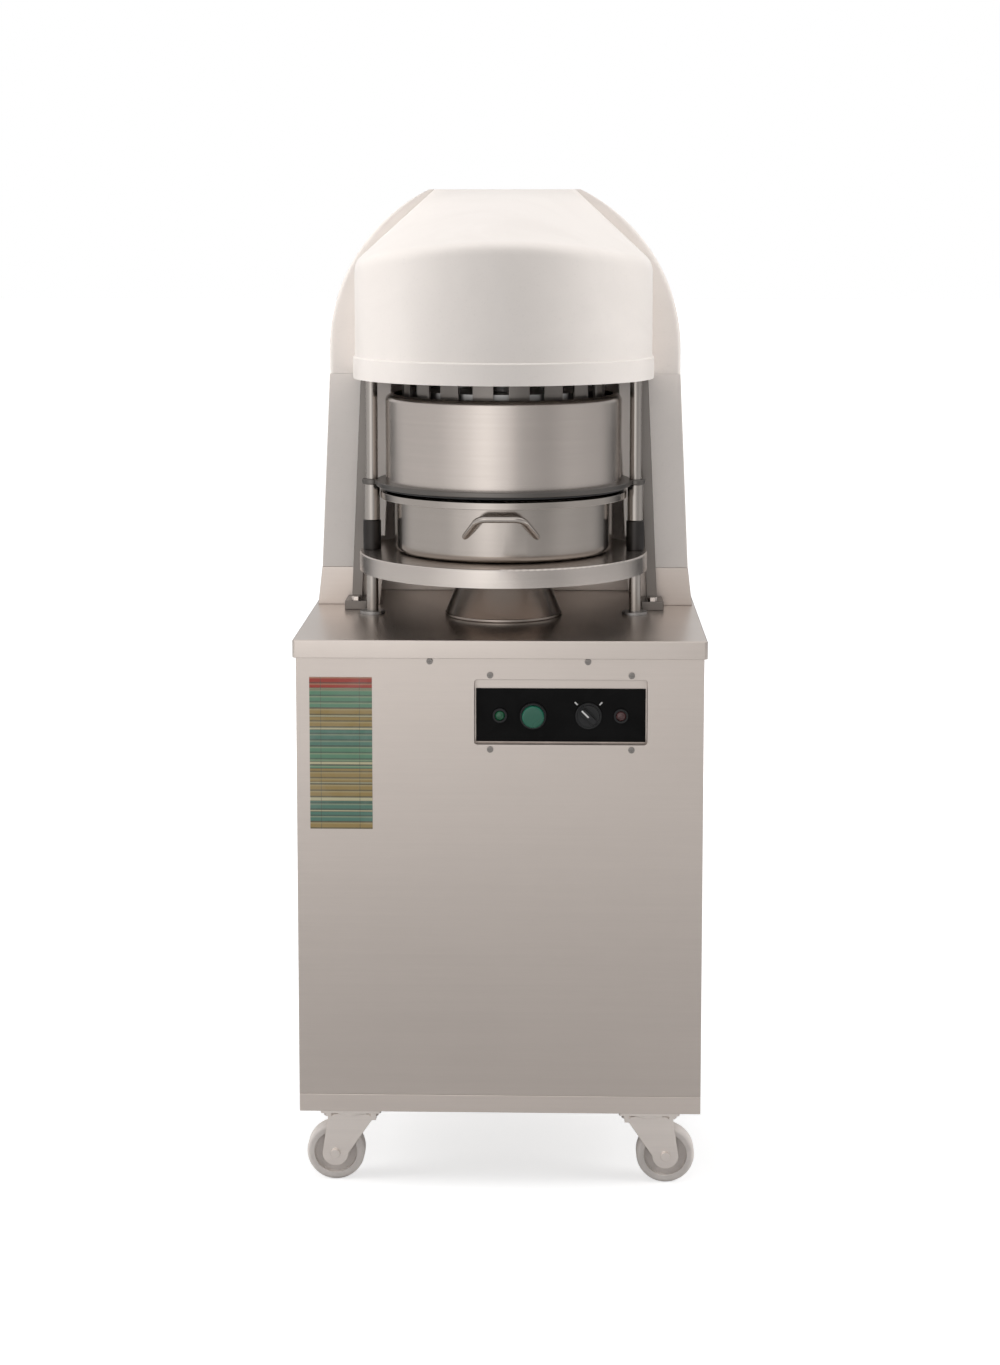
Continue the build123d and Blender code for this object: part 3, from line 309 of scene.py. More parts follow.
def peel_group() -> Group:
    """Slightly uneven skin of sprayed paint or moulded plastic.

    Returns:
        A group with Vector and Scale in, Height out.
    """
    peel_share, wave_size = 0.35, 0.04
    group, tree, vector, scale, end = new_group("UnevenSkin", "Height")
    peel = tree.noise(vector, scale, Detail=1.0, Roughness=0.4)
    wave = tree.noise(vector, tree.times(scale, wave_size), Detail=1.0, Roughness=0.4)
    tree.join(end["Height"], tree.math("ADD", tree.times(peel, peel_share), wave))
    return group


@dataclass(frozen=True)
class Effects:
    """Node groups that the finishes share, each built once."""

    grain: Group = field(default_factory=grain_group)
    smudge: Group = field(default_factory=smudge_group)
    wear_and_shade: Group = field(default_factory=wear_and_shade_group)
    peel: Group = field(default_factory=peel_group)


@dataclass
class Paintbox:
    """A material in the making, with its coordinates, its shader and the shared effects."""

    name: str
    effects: Effects
    material: Material = field(init=False)
    tree: Tree = field(init=False)
    shader: bpy.types.Node = field(init=False)
    place: Socket = field(init=False)

    def __post_init__(self) -> None:
        """Start the material with its shader and its object coordinates."""
        self.material, self.tree, self.shader = new_material(self.name)
        self.place = self.tree.add("TexCoord").outputs["Object"]

    def effect(self, group: Group, scale: float, vector: Socket | None = None) -> bpy.types.NodeOutputs:
        """Place a shared effect.

        Args:
            group: The effect.
            scale: Its scale.
            vector: Its coordinates, if not those of the object.

        Returns:
            The outputs of its node.
        """
        place = self.place if vector is None else vector
        return self.tree.add("Group", {"node_tree": group}, Vector=place, Scale=scale).outputs

    def along(self, grain: Grain) -> Socket:
        """Coordinates in which the lines of a grain run long.

        Args:
            grain: Way of the lines.

        Returns:
            Squeezed coordinates or, for a round grain, a short way round, the height and the radius.
        """
        if grain is not Grain.ROUND:
            return self.tree.add("Mapping", Vector=self.place, Scale=grain.value).outputs[0]
        parts = self.tree.add("SeparateXYZ", Vector=self.place).outputs
        flat = self.tree.add("CombineXYZ", X=parts["X"], Y=parts["Y"]).outputs[0]
        way = self.tree.times(self.tree.math("ARCTAN2", parts["Y"], parts["X"]), ROUND_SQUEEZE)
        return self.tree.add("CombineXYZ", X=way, Y=parts["Z"], Z=self.tree.length(flat)).outputs[0]

    def layer(self, tone: object, mask: Socket, share: float, over: Rgba) -> Socket:
        """Lay a colour over a tone.

        Args:
            tone: Colour below, four numbers or a socket.
            mask: Where the upper colour shows.
            share: How much of it shows there.
            over: The upper colour.

        Returns:
            The mixed colour.
        """
        return self.tree.mix(self.tree.times(mask, share), tone, over)

    def varied(self, base: object, mask: Socket, low: float, high: float) -> Socket:
        """Vary a value by a mask.

        Args:
            base: The value, a number or a socket.
            mask: Mask from 0 to 1.
            low: What is added where the mask is 0.
            high: What is added where it is 1.

        Returns:
            The varied value.
        """
        return self.tree.math("ADD", self.tree.ramp(mask, 0.0, 1.0, low, high), base)

    def feed(self, colour: Socket, roughness: Socket, height: Socket, depth: float, strength: float) -> None:
        """Join the worked-out colour, roughness and relief to the shader.

        Args:
            colour: Base colour.
            roughness: Roughness.
            height: Relief from 0 to 1.
            depth: Depth of that relief in metres.
            strength: Share of the relief that shows.
        """
        normal = self.tree.add("Bump", Height=height, Distance=depth, Strength=strength).outputs[0]
        for name, source in (("Base Color", colour), ("Roughness", roughness), ("Normal", normal)):
            self.tree.join(self.shader.inputs[name], source)


@dataclass(frozen=True)
class Finish:
    """A procedural finish: its name, its colour and its roughness."""

    name: str
    colour: Colour
    roughness: float

    def make(self, effects: Effects) -> Material:
        """Build the material.

        Args:
            effects: The shared node groups.

        Returns:
            The material.
        """
        box = Paintbox(self.name, effects)
        self.work(box)
        return box.material

    def work(self, box: Paintbox) -> None:
        """Lay on the detail of the finish, which each kind of finish has its own way to do."""
        raise NotImplementedError

    def tone(self, level: float = 1.0) -> Rgba:
        """The finish's own colour, times a level."""
        return rgba(self.colour, level)


@dataclass(frozen=True)
class SheetSteel(Finish):
    """Brushed stainless sheet: drawn lines, wiped patches, and painted shade darkening its corners."""

    grain: Grain = Grain.ALONG_X
    scale: float = 900.0
    relief: float = 0.005 * MM
    patches: float = 0.08
    patch_tone: float = 0.85
    patch_scale: float = 4.0
    patch_rough: Pair = (-0.01, 0.02)
    corners: float = 0.4
    corner_shade_tone: float = 0.45
    wear_and_shade_scale: float = 70.0
    line_tones: Pair = (0.975, 1.015)
    line_rough: Pair = (-0.015, 0.015)
    bump: float = 0.2

    def work(self, box: Paintbox) -> None:
        """Lay on the fine lines, the wiped patches and the painted shade in the corners.

        Args:
            box: The material in the making.
        """
        lines = box.effect(box.effects.grain, self.scale, box.along(self.grain))
        patches = box.effect(box.effects.smudge, self.patch_scale)["Patches"]
        corner = box.effect(box.effects.wear_and_shade, self.wear_and_shade_scale)["CornerShade"]
        tone = box.tree.mix(lines["Lines"], *(self.tone(level) for level in self.line_tones))
        tone = box.layer(tone, patches, self.patches, self.tone(self.patch_tone))
        # Painted shade: the tone darkens where the occlusion mask marks a corner.
        tone = box.layer(tone, corner, self.corners, self.tone(self.corner_shade_tone))
        set_values(box.shader, Metallic=1.0)
        box.feed(tone, self.rough(box, lines, patches), lines["Lines"], self.relief, self.bump)

    def rough(self, box: Paintbox, lines: bpy.types.NodeOutputs, patches: Socket) -> Socket:
        """Roughness, which follows the fine lines and the wiped patches.

        Args:
            box: The material in the making.
            lines: What the grain puts out.
            patches: Mask of the wiped patches.

        Returns:
            The roughness.
        """
        rough = box.varied(self.roughness, lines["Lines"], *self.line_rough)
        return box.varied(rough, patches, *self.patch_rough)


@dataclass(frozen=True)
class TurnedSteel(SheetSteel):
    """Spun or turned steel: finished as sheet is, but with its fine lines round a vertical axis."""

    grain: Grain = Grain.ROUND
    scale: float = 1400.0
    relief: float = 0.002 * MM
    patches: float = 0.03
    patch_tone: float = 0.7
    patch_scale: float = 6.0
    corners: float = 0.3
    corner_shade_tone: float = 0.4
    wear_and_shade_scale: float = 90.0
    line_rough: Pair = (-0.008, 0.008)

    def rough(self, box: Paintbox, lines: bpy.types.NodeOutputs, patches: Socket) -> Socket:
        """Roughness, which follows only the wide drift of the lines."""
        return box.varied(self.roughness, lines["Drift"], *self.line_rough)


@dataclass(frozen=True)
class Paint(Finish):
    """Sprayed paint with an uneven skin, faint dirt, painted shade in its corners and, where rubbed, a
    lighter or darker edge.
    """

    skin_scale: float = 420.0
    skin_depth: float = 0.05 * MM
    edge_colour: Colour = (0.55, 0.54, 0.52)
    edges: float = 0.15
    dirt: float = 0.10
    dirt_dulling: float = 0.4
    speck_tone: float = 0.72
    corners: float = 0.55
    corner_shade_tone: float = 0.5
    wear_and_shade_scale: float = 45.0
    patch_scale: float = 5.0
    patch_rough: Pair = (-0.03, 0.06)
    bump: float = 0.5

    def work(self, box: Paintbox) -> None:
        """Lay on the uneven skin, the dirt, the painted shade in the corners and the rubbed edges.

        Args:
            box: The material in the making.
        """
        skin = box.effect(box.effects.peel, self.skin_scale)["Height"]
        patches = box.effect(box.effects.smudge, self.patch_scale)
        wear_and_shade = box.effect(box.effects.wear_and_shade, self.wear_and_shade_scale)
        dulled = self.tone(1.0 - self.dirt_dulling * self.dirt)
        tone = box.tree.mix(patches["Patches"], self.tone(), dulled)
        tone = box.layer(tone, patches["Specks"], self.dirt, self.tone(self.speck_tone))
        # Painted shade: the paint darkens where the occlusion mask marks a corner.
        tone = box.layer(tone, wear_and_shade["CornerShade"], self.corners, self.tone(self.corner_shade_tone))
        tone = box.layer(tone, wear_and_shade["Edge"], self.edges, rgba(self.edge_colour))
        rough = box.varied(self.roughness, patches["Patches"], *self.patch_rough)
        box.feed(tone, rough, skin, self.skin_depth, self.bump)


@dataclass(frozen=True)
class Moulded(Finish):
    """Moulded plastic or rubber with a fine skin, handled patches and pale worn edges."""

    skin_scale: float = 900.0
    skin_depth: float = 0.03 * MM
    worn: float = 0.25
    transmission: float = 0.0
    coat: float = 0.0
    gloss: float = 0.5
    patches: float = 0.5
    patch_tone: float = 0.8
    patch_scale: float = 22.0
    patch_rough: Pair = (-0.04, 0.08)
    pale_share: float = 0.75
    pale_lift: float = 0.12
    worn_specks: float = 0.4
    wear_and_shade_scale: float = 120.0
    bump: float = 0.5

    def work(self, box: Paintbox) -> None:
        """Lay on the fine skin, the handled patches and the worn edges.

        Args:
            box: The material in the making.
        """
        skin = box.effect(box.effects.peel, self.skin_scale)["Height"]
        patches = box.effect(box.effects.smudge, self.patch_scale)
        edge = box.effect(box.effects.wear_and_shade, self.wear_and_shade_scale)["Edge"]
        pale = rgba(tuple(self.pale_share * part + self.pale_lift for part in self.colour))
        tone = box.layer(self.tone(), patches["Patches"], self.patches, self.tone(self.patch_tone))
        tone = box.layer(tone, edge, self.worn, pale)
        tone = box.layer(tone, patches["Specks"], self.worn_specks * self.worn, pale)
        rough = box.varied(self.roughness, patches["Patches"], *self.patch_rough)
        set_values(box.shader, Transmission_Weight=self.transmission, Coat_Weight=self.coat,
                   Specular_IOR_Level=self.gloss)
        box.feed(tone, rough, skin, self.skin_depth, self.bump)


STEEL = (0.60, 0.535, 0.49)
CHART_INK = (0.075, 0.085, 0.065)
CHART_WIPE = (0.60, 0.58, 0.55)
CHART_RED = (0.40, 0.047, 0.03)
CHART_GREEN = (0.115, 0.27, 0.165)
CHART_OCHRE = (0.36, 0.25, 0.085)
CHART_CREAM = (0.58, 0.53, 0.33)
CHART_TEAL = (0.095, 0.22, 0.165)


@dataclass(frozen=True)
class Band:
    """One coloured band of the chart, from its share of the height upwards."""

    low: float
    colour: Colour


@dataclass(frozen=True)
class ChartPrint(Finish):
    """Generic printed chart: coloured bands by height, with thin dividers, columns and rows in its ink."""

    bands: tuple[Band, ...] = ()
    columns: tuple[float, ...] = (0.18, 0.80)
    column_half: float = 0.006
    column_ink: float = 0.55
    divider_half: float = 0.003
    divider_ink: float = 0.6
    rows: float = 24.0
    row_share: float = 0.34
    row_ink: float = 0.62
    row_gleam: float = 0.40
    patches: float = 0.08
    patch_scale: float = 18.0
    patch_rough: Pair = (0.0, 0.12)
    skin_scale: float = 700.0
    skin_depth: float = 0.03 * MM
    bump: float = 0.4

    def work(self, box: Paintbox) -> None:
        """Print the bands, the lines and the rows, then wipe them.

        Args:
            box: The material in the making.
        """
        tree = box.tree
        low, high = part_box("band_chart")
        span = high - low
        share = tree.add("Mapping", Vector=box.place, Scale=(1.0 / span.x, 1.0, 1.0 / span.z),
                         Location=(-low.x / span.x, 0.0, -low.z / span.z)).outputs[0]
        parts = tree.add("SeparateXYZ", Vector=share).outputs
        tone: object = rgba(self.bands[0].colour)
        for band in self.bands[1:]:
            tone = tree.mix(tree.math("GREATER_THAN", parts["Z"], band.low), tone, rgba(band.colour))
        lines = [(parts["Z"], band.low, self.divider_half, self.divider_ink) for band in self.bands[1:]]
        lines += [(parts["X"], column, self.column_half, self.column_ink) for column in self.columns]
        for across, middle, half, ink in lines:
            line = tree.math("COMPARE", across, middle)
            line.node.inputs[2].default_value = half
            tone = box.layer(tone, line, ink, self.tone())
        row = tree.math("FRACT", tree.times(parts["Z"], self.rows))
        ruled = tree.ramp(row, self.row_share, 0.5 * self.row_share, 0.0, self.row_ink)
        gleam = tree.ramp(row, 1.0 - self.row_share, 1.0, 0.0, self.row_gleam)
        tone = tree.mix(gleam, tree.mix(ruled, tone, self.tone()), rgba(CHART_CREAM))
        patches = box.effect(box.effects.smudge, self.patch_scale)["Patches"]
        skin = box.effect(box.effects.peel, self.skin_scale)["Height"]
        tone = box.layer(tone, patches, self.patches, rgba(CHART_WIPE))
        rough = box.varied(self.roughness, patches, *self.patch_rough)
        box.feed(tone, rough, skin, self.skin_depth, self.bump)


FINISHES: tuple[Finish, ...] = (
    SheetSteel("panel_sheet", STEEL, 0.32, Grain.ALONG_X, 1500.0),
    SheetSteel("base_sheet", (0.70, 0.625, 0.575), 0.34, Grain.ALONG_X, 1500.0),
    SheetSteel("upright_sheet", STEEL, 0.38, Grain.ALONG_Z, 1500.0),
    SheetSteel("top_sheet", STEEL, 0.30, Grain.ALONG_X, 1500.0),
    SheetSteel("side_sheet", STEEL, 0.38, Grain.ALONG_Y, 1500.0),
    TurnedSteel("drum_steel", (0.57, 0.512, 0.472), 0.26),
    TurnedSteel("pan_steel", (0.45, 0.406, 0.371), 0.17),
    # Darker copy of steel for the cutter ring: painted shade for the shade under the hood.
    TurnedSteel("shaded_blade_steel", (0.20, 0.181, 0.167), 0.30),
    TurnedSteel("flange_steel", (0.15, 0.138, 0.128), 0.32, scale=1100.0, relief=0.006 * MM, patches=0.1),
    TurnedSteel("disc_steel", (0.60, 0.545, 0.505), 0.26),
    SheetSteel("rod_steel", (0.42, 0.385, 0.355), 0.24, Grain.ALONG_Z, 1600.0, 0.003 * MM),
    TurnedSteel("pedestal_steel", (0.50, 0.45, 0.415), 0.25),
    SheetSteel("post_steel", (0.20, 0.182, 0.168), 0.36, Grain.ALONG_Z),
    SheetSteel("mill_steel", (0.42, 0.41, 0.40), 0.38, Grain.ALONG_X, 700.0, 0.02 * MM),
    TurnedSteel("blued_steel", (0.05, 0.046, 0.044), 0.38, scale=1100.0, relief=0.012 * MM, patches=0.3),
    SheetSteel("spring_steel", (0.22, 0.21, 0.21), 0.33),
    Paint("white_paint", (0.885, 0.822, 0.775), 0.34),
    Paint("iron_paint", (0.16, 0.17, 0.18), 0.48, 260.0, 0.16 * MM, (0.30, 0.29, 0.28), 0.5, 0.25),
    Moulded("seal_rubber", (0.018, 0.017, 0.017), 0.55, 500.0, 0.06 * MM),
    Moulded("black_plate", (0.0035, 0.0033, 0.0033), 0.55, worn=0.04, gloss=0.1),
    Moulded("black_plastic", (0.009, 0.009, 0.0095), 0.36, gloss=0.35),
    Paint("white_mark", (0.80, 0.79, 0.77), 0.45),
    Moulded("green_plastic", (0.002, 0.11, 0.062), 0.26, worn=0.05, coat=0.2),
    Moulded("green_lens", (0.003, 0.12, 0.045), 0.24, worn=0.04, transmission=0.2, coat=0.2),
    Moulded("red_lens", (0.085, 0.028, 0.027), 0.26, worn=0.05, transmission=0.2, coat=0.2),
    SheetSteel("zinc_steel", (0.84, 0.77, 0.72), 0.36, Grain.ALONG_X, 500.0, 0.01 * MM),
    SheetSteel("screw_steel", (0.27, 0.25, 0.235), 0.36, Grain.ALONG_X, 900.0, 0.01 * MM),
    Moulded("wheel_grey", (0.78, 0.72, 0.68), 0.46, 700.0, 0.05 * MM, 0.15),
    ChartPrint("chart_print", CHART_INK, 0.30, (
        Band(0.0, CHART_OCHRE),
        Band(0.05, CHART_TEAL),
        Band(0.115, CHART_CREAM),
        Band(0.125, CHART_TEAL),
        Band(0.185, CHART_CREAM),
        Band(0.21, CHART_OCHRE),
        Band(0.30, CHART_CREAM),
        Band(0.31, CHART_OCHRE),
        Band(0.40, CHART_GREEN),
        Band(0.425, CHART_CREAM),
        Band(0.445, CHART_GREEN),
        Band(0.55, CHART_TEAL),
        Band(0.655, CHART_CREAM),
        Band(0.675, CHART_OCHRE),
        Band(0.74, CHART_CREAM),
        Band(0.75, CHART_OCHRE),
        Band(0.80, CHART_GREEN),
        Band(0.915, CHART_CREAM),
        Band(0.93, CHART_RED),
    )),
)

BODY_OF = {node: body for body, nodes in frame["record"]["behaviour"]["bodies"].items() for node in nodes}


@dataclass(frozen=True)
class Dress:
    """How one node of the frame is dressed: its finish, and the width and steps of its broken edges."""

    node: str
    finish: str
    bevel: float
    segments: int = 2


def box_shape(low: Vector, high: Vector, bevel: float) -> Shape:
    """Make a box with broken edges between two corners.

    Args:
        low: Lowest corner.
        high: Highest corner.
        bevel: Width of its broken edges.

    Returns:
        The shape.
    """
    shape = bmesh.new()
    bmesh.ops.create_cube(shape, size=1.0)
    bmesh.ops.scale(shape, vec=high - low, verts=shape.verts)
    bmesh.ops.translate(shape, vec=(low + high) / 2.0, verts=shape.verts)
    bmesh.ops.bevel(shape, geom=shape.edges, offset=bevel, offset_type="OFFSET", affect="EDGES", segments=2,
                    profile=0.5, material=-1)
    return shape


def spun(profile: list[Pair], steps: int) -> Shape:
    """Spin a profile round the vertical axis.

    Args:
        profile: Radius and height of each point.
        steps: Steps round the turn.

    Returns:
        The shape.
    """
    shape = bmesh.new()
    points = [shape.verts.new((radius, 0.0, height)) for radius, height in profile]
    edges = [shape.edges.new(pair) for pair in zip(points, points[1:])]
    bmesh.ops.spin(shape, geom=points + edges, cent=(0.0, 0.0, 0.0), axis=(0.0, 0.0, 1.0),
                   angle=2.0 * math.pi, steps=steps, use_merge=True)
    return shape


def loft(shape: Shape, rows: list[list[Vector]]) -> list[list[bmesh.types.BMVert]]:
    """Join rows of points, each as long as the next, with a skin.

    Args:
        shape: Shape that gets the skin.
        rows: The rows of points.

    Returns:
        The corners of each row.
    """
    corners = [[shape.verts.new(point) for point in row] for row in rows]
    chains = [[shape.edges.new(pair) for pair in zip(row, row[1:])] for row in corners]
    for chain, following in zip(chains, chains[1:]):
        bmesh.ops.bridge_loops(shape, edges=chain + following)
    return corners


def open_edges(parts: list) -> list[bmesh.types.BMEdge]:
    """Edges among some parts of a shape that have only one face."""
    return [part for part in parts if isinstance(part, bmesh.types.BMEdge) and part.is_boundary]


def points_among(parts: list) -> list[bmesh.types.BMVert]:
    """Points among some parts of a shape."""
    return [part for part in parts if isinstance(part, bmesh.types.BMVert)]


def island_boxes(shape: Shape) -> list[tuple[Vector, Vector]]:
    """Find the box of each group of vertices that hangs together.

    Args:
        shape: The shape to look through.

    Returns:
        Lowest and highest corner of each group.
    """
    left = set(shape.verts)
    boxes = []
    while left:
        todo = [left.pop()]
        points = []
        while todo:
            vert = todo.pop()
            points.append(vert.co)
            near = {edge.other_vert(vert) for edge in vert.link_edges} & left
            left -= near
            todo.extend(near)
        low = Vector([min(point[axis] for point in points) for axis in range(3)])
        high = Vector([max(point[axis] for point in points) for axis in range(3)])
        boxes.append((low, high))
    return boxes


def smooth(shape: Shape) -> None:
    """Shade a shape smooth, with its sharp folds kept.

    Args:
        shape: The shape.
    """
    for face in shape.faces:
        face.smooth = True
    for edge in shape.edges:
        edge.smooth = len(edge.link_faces) == 2 and edge.calc_face_angle(0.0) < SHARP_ANGLE


def written(shape: Shape, mesh: bpy.types.Mesh) -> bpy.types.Mesh:
    """Write a shape into a mesh and free the shape.

    Args:
        shape: The shape.
        mesh: The mesh that takes it.

    Returns:
        The mesh.
    """
    shape.to_mesh(mesh)
    shape.free()
    return mesh


def stood(name: str, data: bpy.types.ID) -> bpy.types.Object:
    """Put a mesh, a light or a camera into the scene.

    Args:
        name: Name of the object.
        data: What it shows.

    Returns:
        The object.
    """
    thing = bpy.data.objects.new(name, data)
    bpy.context.scene.collection.objects.link(thing)
    return thing


class Workshop:
    """Makes finished objects: softened copies of the frame's pieces and new pieces."""

    def __init__(self, finishes: tuple[Finish, ...]) -> None:
        """Build every finish once."""
        effects = Effects()
        self.materials = {finish.name: finish.make(effects) for finish in finishes}

    def place(self, mesh: bpy.types.Mesh, name: str, node: str, finish: str) -> bpy.types.Object:
        """Turn a mesh into an object that rides with a node's body.

        Args:
            mesh: Finished mesh, in the frame's own coordinates.
            name: Name of the object.
            node: Node whose body it rides with.
            finish: Name of its finish.

        Returns:
            The object.
        """
        piece = stood(name, mesh)
        mesh.materials.clear()
        mesh.materials.append(self.materials[finish])
        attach(piece, BODY_OF[node])
        log.info("%s: %s, %d faces", name, finish, len(mesh.polygons))
        return piece

    def soften(self, piece: bpy.types.Object, dress: Dress) -> None:
        """Break the sharp edges of a piece with a live modifier.

        Args:
            piece: Object to soften.
            dress: Width and steps of its broken edges.
        """
        bevel = piece.modifiers.new("broken_edges", "BEVEL")
        bevel.width = dress.bevel
        bevel.segments = dress.segments
        bevel.limit_method = "ANGLE"
        bevel.angle_limit = SHARP_ANGLE
        bevel.harden_normals = True
        bevel.miter_outer = "MITER_ARC"

    def refine(self, dress: Dress) -> bpy.types.Object:
        """Replace a node of the frame with a merged, smooth, edge-broken copy of itself.

        Args:
            dress: The node and its finish.

        Returns:
            The new object.
        """
        name = dress.node + "_dressed"
        mesh = frame["nodes"][dress.node].data.copy()
        mesh.name = name
        shape = bmesh.new()
        shape.from_mesh(mesh)
        bmesh.ops.remove_doubles(shape, verts=shape.verts, dist=MERGE_DISTANCE)
        bmesh.ops.dissolve_limit(shape, angle_limit=FLAT_ANGLE, verts=shape.verts, edges=shape.edges)
        smooth(shape)
        piece = self.place(written(shape, mesh), name, dress.node, dress.finish)
        if dress.bevel > 0:
            self.soften(piece, dress)
        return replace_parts(piece, dress.node)

    def finished(self, shape: Shape, name: str, node: str, finish: str) -> bpy.types.Object:
        """Close a new shape and place it.

        Args:
            shape: The shape, which is freed here.
            name: Name of the object.
            node: Node whose body it rides with.
            finish: Name of its finish.

        Returns:
            The object.
        """
        bmesh.ops.remove_doubles(shape, verts=shape.verts, dist=MERGE_DISTANCE)
        bmesh.ops.recalc_face_normals(shape, faces=shape.faces)
        smooth(shape)
        return self.place(written(shape, bpy.data.meshes.new(name)), name, node, finish)


@dataclass
class SubAssembly:
    """A group of pieces that are dressed together."""

    workshop: Workshop
    dresses: tuple[Dress, ...] = ()

    def build(self) -> None:
        """Dress every piece of the group, then add its own details."""
        for dress in self.dresses:
            self.workshop.refine(dress)
        self.add_details()

    def add_details(self) -> None:
        """Add nothing by default."""


@dataclass
class Cabinet(SubAssembly):
    """Stainless base cabinet with its worktop, tray and inner angles."""

    dresses: tuple[Dress, ...] = (
        Dress("base_tray", "base_sheet", 0.8 * MM),
        Dress("corner_angles", "upright_sheet", 0.5 * MM),
        Dress("front_panel", "panel_sheet", 0.9 * MM, 3),
        Dress("left_side_panel", "side_sheet", 0.9 * MM, 3),
        Dress("right_side_panel", "side_sheet", 0.9 * MM, 3),
        Dress("rear_panel", "panel_sheet", 0.6 * MM),
        Dress("worktop", "top_sheet", 1.0 * MM, 3),
        Dress("worktop_bushes", "mill_steel", 0.4 * MM),
        Dress("cable_gland", "black_plastic", 0.3 * MM),
    )
    screw_rim: float = 0.84
    screw_break: float = 0.4 * MM
    cross_arm: float = 2.5 * MM
    cross_half: float = 0.65 * MM
    cross_depth: float = 1.2 * MM
    head_steps: int = 32

    def add_details(self) -> None:
        """Turn each panel screw of the frame into a round head with a cross recess."""
        plain = bmesh.new()
        plain.from_mesh(frame["nodes"]["panel_screws"].data)
        bmesh.ops.remove_doubles(plain, verts=plain.verts, dist=MERGE_DISTANCE)
        shape = bmesh.new()
        for low, high in island_boxes(plain):
            self.screw_head(shape, low, high)
        plain.free()
        screws = self.workshop.finished(shape, "cross_screws", "panel_screws", "screw_steel")
        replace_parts(screws, "panel_screws")

    def screw_head(self, shape: Shape, low: Vector, high: Vector) -> None:
        """Add one round head with a cross recess, facing the front.

        Args:
            shape: Shape that gets the head.
            low: Lowest corner of the head's box.
            high: Highest corner of that box.
        """
        others = set(shape.verts)
        middle = (low + high) / 2.0
        radius = (high.x - low.x) / 2.0
        rim = bmesh.ops.create_circle(shape, segments=self.head_steps, radius=radius * self.screw_rim)
        outer = list({edge for vert in rim["verts"] for edge in vert.link_edges})
        arm, half = self.cross_arm, self.cross_half
        quarter = (Vector((arm, -half, 0.0)), Vector((arm, half, 0.0)), Vector((half, half, 0.0)))
        turns = [Matrix.Rotation(math.pi / 2.0 * step, 3, "Z") for step in range(4)]
        cross = [shape.verts.new(turn @ corner) for turn in turns for corner in quarter]
        inner = [shape.edges.new(pair) for pair in zip(cross, cross[1:] + cross[:1])]
        bmesh.ops.triangle_fill(shape, use_beauty=True, edges=outer + inner)
        sunk = bmesh.ops.extrude_edge_only(shape, edges=inner)["geom"]
        bmesh.ops.translate(shape, vec=(0.0, 0.0, -self.cross_depth), verts=points_among(sunk))
        bmesh.ops.holes_fill(shape, edges=open_edges(sunk))
        for drop in (self.screw_break, high.y - low.y):
            ring = bmesh.ops.extrude_edge_only(shape, edges=outer)["geom"]
            for vert in points_among(ring):
                vert.co = vert.co.xy.normalized().to_3d() * radius - Vector((0.0, 0.0, drop))
            outer = open_edges(ring)
        place = Matrix.Translation((middle.x, low.y, middle.z)) @ Matrix.Rotation(math.pi / 2.0, 4, "X")
        bmesh.ops.transform(shape, matrix=place, verts=[vert for vert in shape.verts if vert not in others])


@dataclass(frozen=True)
class Stroke:
    """One short painted stroke: how far from its centre it starts, its length and its width."""

    start: float
    length: float
    width: float


@dataclass
class ControlPanel(SubAssembly):
    """Recessed box with a black plate, two lamps, a push button and a rotary selector."""

    dresses: tuple[Dress, ...] = (
        Dress("control_box", "panel_sheet", 0.4 * MM),
        Dress("control_plate", "black_plate", 0.4 * MM),
        Dress("control_bezels", "black_plastic", 0.3 * MM),
        Dress("green_lens", "green_lens", 0.3 * MM),
        Dress("red_lens", "red_lens", 0.3 * MM),
        Dress("start_button", "green_plastic", 0.4 * MM, 3),
        Dress("selector_knob", "black_plastic", 0.5 * MM, 3),
    )
    pointer_turn: float = math.radians(45.0)
    pointer: Stroke = Stroke(0.0, 12.0 * MM, 2.0 * MM)
    mark: Stroke = Stroke(19.5 * MM, 5.0 * MM, 1.8 * MM)
    paint_depth: float = 0.25 * MM

    def add_details(self) -> None:
        """Paint the pointer on the selector and its two marks on the plate."""
        low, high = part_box("selector_knob")
        centre = (low + high) / 2.0
        knob_face = Vector((centre.x, low.y, centre.z))
        plate_face = Vector((centre.x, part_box("control_plate")[0].y, centre.z))
        self.paint("selector_pointer", "selector_knob", knob_face, self.pointer_turn, self.pointer)
        for side, turn in (("left", self.pointer_turn), ("right", -self.pointer_turn)):
            self.paint(f"selector_mark_{side}", "control_plate", plate_face, turn, self.mark)

    def paint(self, name: str, node: str, centre: Vector, turn: float, stroke: Stroke) -> None:
        """Paint one white stroke that points away from a centre.

        Args:
            name: Name of the stroke.
            node: Node that carries it.
            centre: Point on the face that it lies on.
            turn: Turn from upright, to the left as seen from the front.
            stroke: Its sizes.
        """
        half = stroke.width / 2.0
        low = Vector((-half, -self.paint_depth, stroke.start))
        high = Vector((half, self.paint_depth, stroke.start + stroke.length))
        shape = box_shape(low, high, self.paint_depth / 2.0)
        place = Matrix.Translation(centre) @ Matrix.Rotation(-turn, 4, "Y")
        bmesh.ops.transform(shape, matrix=place, verts=shape.verts)
        self.workshop.finished(shape, name, node, "white_mark")


@dataclass
class BandChart(SubAssembly):
    """Thin printed chart on the front panel."""

    dresses: tuple[Dress, ...] = (Dress("band_chart", "chart_print", 0.2 * MM),)


